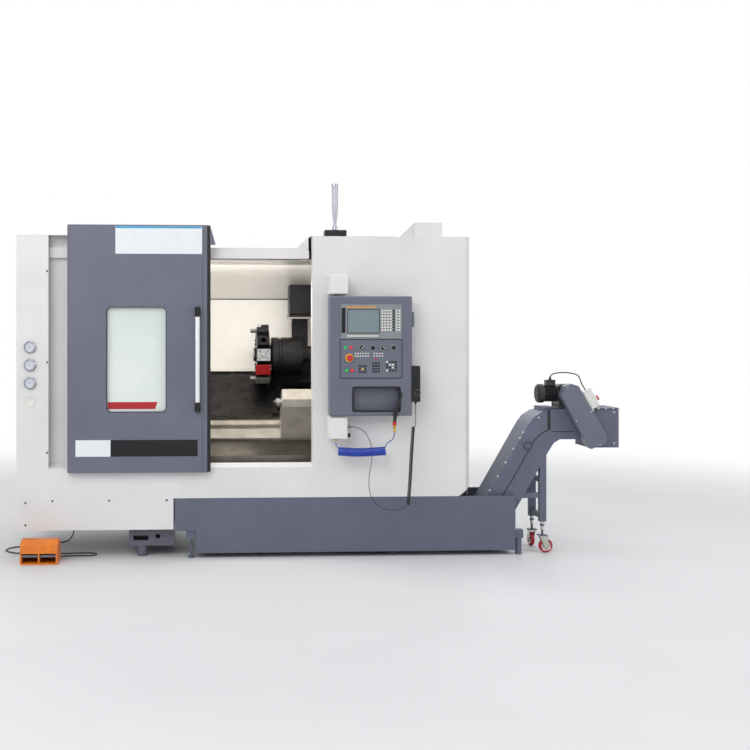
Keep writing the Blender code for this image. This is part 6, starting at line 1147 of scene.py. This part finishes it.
    def caster(self, number, axis):
        """A tread with rounded shoulders, a rim and the axle's nut on the fork."""
        low, high = span(f"caster_wheel_{number}")
        centre = (low + high) / 2
        aim = (0, 1, 0) if axis == "Y" else (1, 0, 0)
        node = [f"caster_wheel_{number}"]
        start = tuple((centre - np.array(aim) * 0.014).tolist())
        tread = turned([
            (0.8, 33), (0, 35), (0, 42), (2.5, 45.8), (7.5, 46.9),
            (20.5, 46.9), (25.5, 45.8), (28, 42), (28, 35), (27.2, 33),
        ], start, aim, 56)
        piece(f"caster_tread_{number}", tread, "cast_polyurethane_red", f"wheel_{number}", node, "red_wheel")
        rim = turned([
            (4, 6.8), (3, 12), (6.5, 15), (6.5, 28), (2, 31),
            (1, 33.2), (27, 33.2), (26, 31), (21.5, 28), (21.5, 15),
            (25, 12), (24, 6.8),
        ], start, aim, 48)
        piece(f"caster_rim_{number}", rim, "ground_steel", f"wheel_{number}", node, "red_wheel")
        outer = tuple((centre - np.array(aim) * 0.0225).tolist())
        nut = turned([(0, 0), (0, 8.5), (1.5, 9.8), (5.8, 9.8), (5.8, 0)], outer, aim, 6)
        piece(f"caster_nut_{number}", nut, "zinc_plate", f"caster_{number}")


class LATHE_OT_pedal(bpy.types.Operator):
    """Fit the foot pedal's tread ribs, hood front, rivets and cable relief."""

    bl_idname = "lathe.pedal"
    bl_label = "Foot pedal"

    def execute(self, context):
        """Ribs cross each tread and follow its slope."""
        slope = 0.017 / 0.14
        for side in ("left", "right"):
            low, high = span(f"pedal_tread_{side}")
            ribs = []
            for k in range(9):
                y = -0.138 + 0.0135 * k
                z = 0.0412 + (-0.006 - y) * slope + 0.0002
                ribs.append(plate((low[0] + 0.006, high[0] - 0.006), (y - 0.0028, y + 0.0028), (z - 0.002, z + 0.003),
                                  0.001, 0.0006, "X"))
            piece(f"tread_ribs_{side}", merged(*ribs), "enamel_on_casting", f"pedal_{side}", slot="cast_paint")
        hood = round_corners(0.23, 0.052, 0.012, (0.1675, 0.096), 5)
        piece("pedal_hood_front", drawn(hood, -0.156, -0.1584, "Y", 0.0008), "pedal_enamel_orange", "machine")
        rivets = screws([(x, -0.1581, 0.108) for x in (0.058, 0.168, 0.278)], FRONT, 0.0035, 0.002)
        piece("pedal_rivets", rivets, "zinc_plate", "machine")
        relief = turned([(0, 0), (0, 11.5), (6, 11.5), (8, 8.8), (30, 5.6), (31, 0)],
                        (0.236, 0.0195, 0.012), (0, 1, 0), 24)
        piece("pedal_cable_relief", relief, "moulded_black_abs", "machine")
        return {"FINISHED"}


# The stage


class LATHE_OT_stage(bpy.types.Operator):
    """Set the camera, the pale floor, the white surroundings and the soft lights."""

    bl_idname = "lathe.stage"
    bl_label = "Stage"

    def execute(self, context):
        """Build the studio round the machine."""
        scene = context.scene
        stage = scene.lathe_stage
        scene.view_settings.view_transform = "Standard"
        eye = bpy.data.cameras.new("camera")
        eye.lens = stage.lens
        eye.sensor_width = 36
        eye.shift_x, eye.shift_y = CAMERA_SHIFT
        eye.clip_end = 100
        camera = linked("camera", eye)
        camera.location = (CAMERA_X + DATUM[0], DATUM[1] - stage.distance, stage.eye_height)
        camera.rotation_euler = (math.radians(90), 0, -stage.turn)
        scene.camera = camera
        lines, reach, drop = 13, 30, 0.0012
        v, u = np.divmod(np.arange(lines ** 2), lines)
        points = np.column_stack([u, v]) * 2 * reach / (lines - 1) - reach
        first = (np.arange(lines - 1)[:, None] * lines + np.arange(lines - 1)).ravel()
        ground = bpy.data.meshes.new("floor")
        ground.from_pydata(np.column_stack([points, np.full(len(points), -drop)]).tolist(), [],
                           np.column_stack([first, first + 1, first + lines + 1, first + lines]).tolist())
        ground.materials.append(self.floor_finish(stage))
        floor = linked("floor", ground)
        self.world(scene)
        self.lamp("front_light", (-3.5, -7.5, 5.5), (0.0, 0.0, 1.0), 5.0, stage.key_power)
        self.lamp("right_light", (6.0, -4.0, 4.0), (0.5, 0.0, 1.0), 4.0, stage.fill_power)
        self.lamp("back_light", (1.0, 6.5, 5.0), (0.0, 0.0, 1.2), 4.5, stage.fill_power)
        self.lamp("top_light", (0.0, -0.5, 6.5), (0.0, 0.0, 0.0), 5.0, stage.fill_power)
        self.lamp("left_light", (-6.5, -3.5, 3.0), (-1.0, 0.0, 1.0), 4.0, stage.fill_power * 0.5)
        inside = self.lamp("chamber_light", (-0.42, -0.56, 1.9), (-0.42, -0.15, 1.0), 0.3, stage.chamber_power)
        inside.data.shape = "RECTANGLE"
        inside.data.size = 1.05
        inside.data.size_y = 0.16
        inside.data.color = linear("fffaf3")[:3]
        return {"FINISHED"}

    def white_rays(self, tree):
        """One for camera, glossy and transmission rays, nought for the rest."""
        rays = add(tree, "ShaderNodeLightPath", {})
        seen = add(tree, "ShaderNodeMath", {"operation": "MAXIMUM"},
                   (rays.outputs["Is Camera Ray"], 0), (rays.outputs["Is Glossy Ray"], 1))
        through = add(tree, "ShaderNodeMath", {"operation": "MAXIMUM"},
                      (seen.outputs["Value"], 0), (rays.outputs["Is Transmission Ray"], 1))
        return through.outputs["Value"]

    def floor_finish(self, stage):
        """Matt pale vinyl floor that runs out to white away from the machine for the camera."""
        made = bpy.data.materials.new("matt_vinyl_floor")
        tree = emptied(made)
        place = add(tree, "ShaderNodeTexCoord", {})
        cloud = add(tree, "ShaderNodeTexNoise", {"Scale": 1.3, "Detail": 4.0}, (place.outputs["Object"], "Vector"))
        colour = add(tree, "ShaderNodeMix", {"data_type": "RGBA", 6: (*stage.floor_colour, 1), 7: linear("e2e2e3")},
                     (cloud.outputs["Fac"], 0))
        vinyl = add(tree, "ShaderNodeBsdfPrincipled", {"Roughness": 0.55}, (colour.outputs[2], "Base Color"))
        white = add(tree, "ShaderNodeEmission", {"Color": (1, 1, 1, 1), "Strength": 1.0})
        far = add(tree, "ShaderNodeVectorMath", {"operation": "LENGTH"}, (place.outputs["Object"], 0))
        fade = add(tree, "ShaderNodeMapRange", {"From Min": 3.2, "From Max": 7.5, "interpolation_type": "SMOOTHSTEP"},
                   (far.outputs["Value"], "Value"))
        share = add(tree, "ShaderNodeMath", {"operation": "MULTIPLY"},
                    (self.white_rays(tree), 0), (fade.outputs["Result"], 1))
        both = add(tree, "ShaderNodeMixShader", {}, (share.outputs["Value"], 0), (vinyl.outputs["BSDF"], 1),
                   (white.outputs["Emission"], 2))
        add(tree, "ShaderNodeOutputMaterial", {}, (both.outputs["Shader"], "Surface"))
        return made

    def world(self, scene):
        """White to the camera, to gloss and through glass, and a plain soft grey light for the rest."""
        world = bpy.data.worlds.new("studio")
        scene.world = world
        tree = emptied(world)
        white = add(tree, "ShaderNodeBackground", {"Color": (1, 1, 1, 1), "Strength": 1.0})
        soft = add(tree, "ShaderNodeBackground", {"Color": linear("eef1f5"), "Strength": 0.54})
        both = add(tree, "ShaderNodeMixShader", {}, (self.white_rays(tree), 0), (soft.outputs["Background"], 1),
                   (white.outputs["Background"], 2))
        add(tree, "ShaderNodeOutputWorld", {}, (both.outputs["Shader"], "Surface"))

    def lamp(self, name, place, aim, size, power):
        """A square soft light that looks at a point."""
        light = bpy.data.lights.new(name, "AREA")
        light.shape = "SQUARE"
        light.size = size
        light.energy = power
        made = linked(name, light)
        made.location = place
        made.rotation_euler = (Vector(aim) - Vector(place)).to_track_quat("-Z", "Y").to_euler()
        made.visible_camera = False
        made.visible_glossy = name != "chamber_light"
        return made


class LATHE_PT_sidebar(bpy.types.Panel):
    """List of the lathe's operators."""

    bl_idname = "LATHE_PT_sidebar"
    bl_label = "Lathe"
    bl_space_type = "VIEW_3D"
    bl_region_type = "UI"
    bl_category = "Lathe"

    def draw(self, context):
        """One button for each operator, then the sizes and colours."""
        for each in OPERATORS:
            self.layout.operator(each.bl_idname)
        for key in GROUPS:
            group = getattr(context.scene, key)
            box = self.layout.box()
            for name in group.__annotations__:
                box.prop(group, name)


GROUPS = {
    "lathe_colours": LatheColours, "lathe_cords": LatheCords, "lathe_stage": LatheStage,
    "lathe_front": LatheFront, "lathe_panel": LathePanel, "lathe_conveyor": LatheConveyor,
}
OPERATORS = (
    LATHE_OT_stage, LATHE_OT_cords, LATHE_OT_cad_finishes, LATHE_OT_front_fittings, LATHE_OT_door_fittings,
    LATHE_OT_chamber, LATHE_OT_control_panel, LATHE_OT_signal_lamp, LATHE_OT_conveyor, LATHE_OT_pedal,
)


def register():
    """Register the groups, the operators and the panel."""
    for name, group in GROUPS.items():
        bpy.utils.register_class(group)
        setattr(bpy.types.Scene, name, bpy.props.PointerProperty(type=group))
    for each in (*OPERATORS, LATHE_PT_sidebar):
        bpy.utils.register_class(each)


def unregister():
    """Take everything away again."""
    for each in (LATHE_PT_sidebar, *reversed(OPERATORS)):
        bpy.utils.unregister_class(each)
    for name, group in reversed(GROUPS.items()):
        delattr(bpy.types.Scene, name)
        bpy.utils.unregister_class(group)


def main():
    """Dress the lathe piece by piece."""
    register()
    for each in OPERATORS:
        group, name = each.bl_idname.split(".")
        getattr(getattr(bpy.ops, group), name)()


if __name__ == "__main__":
    main()
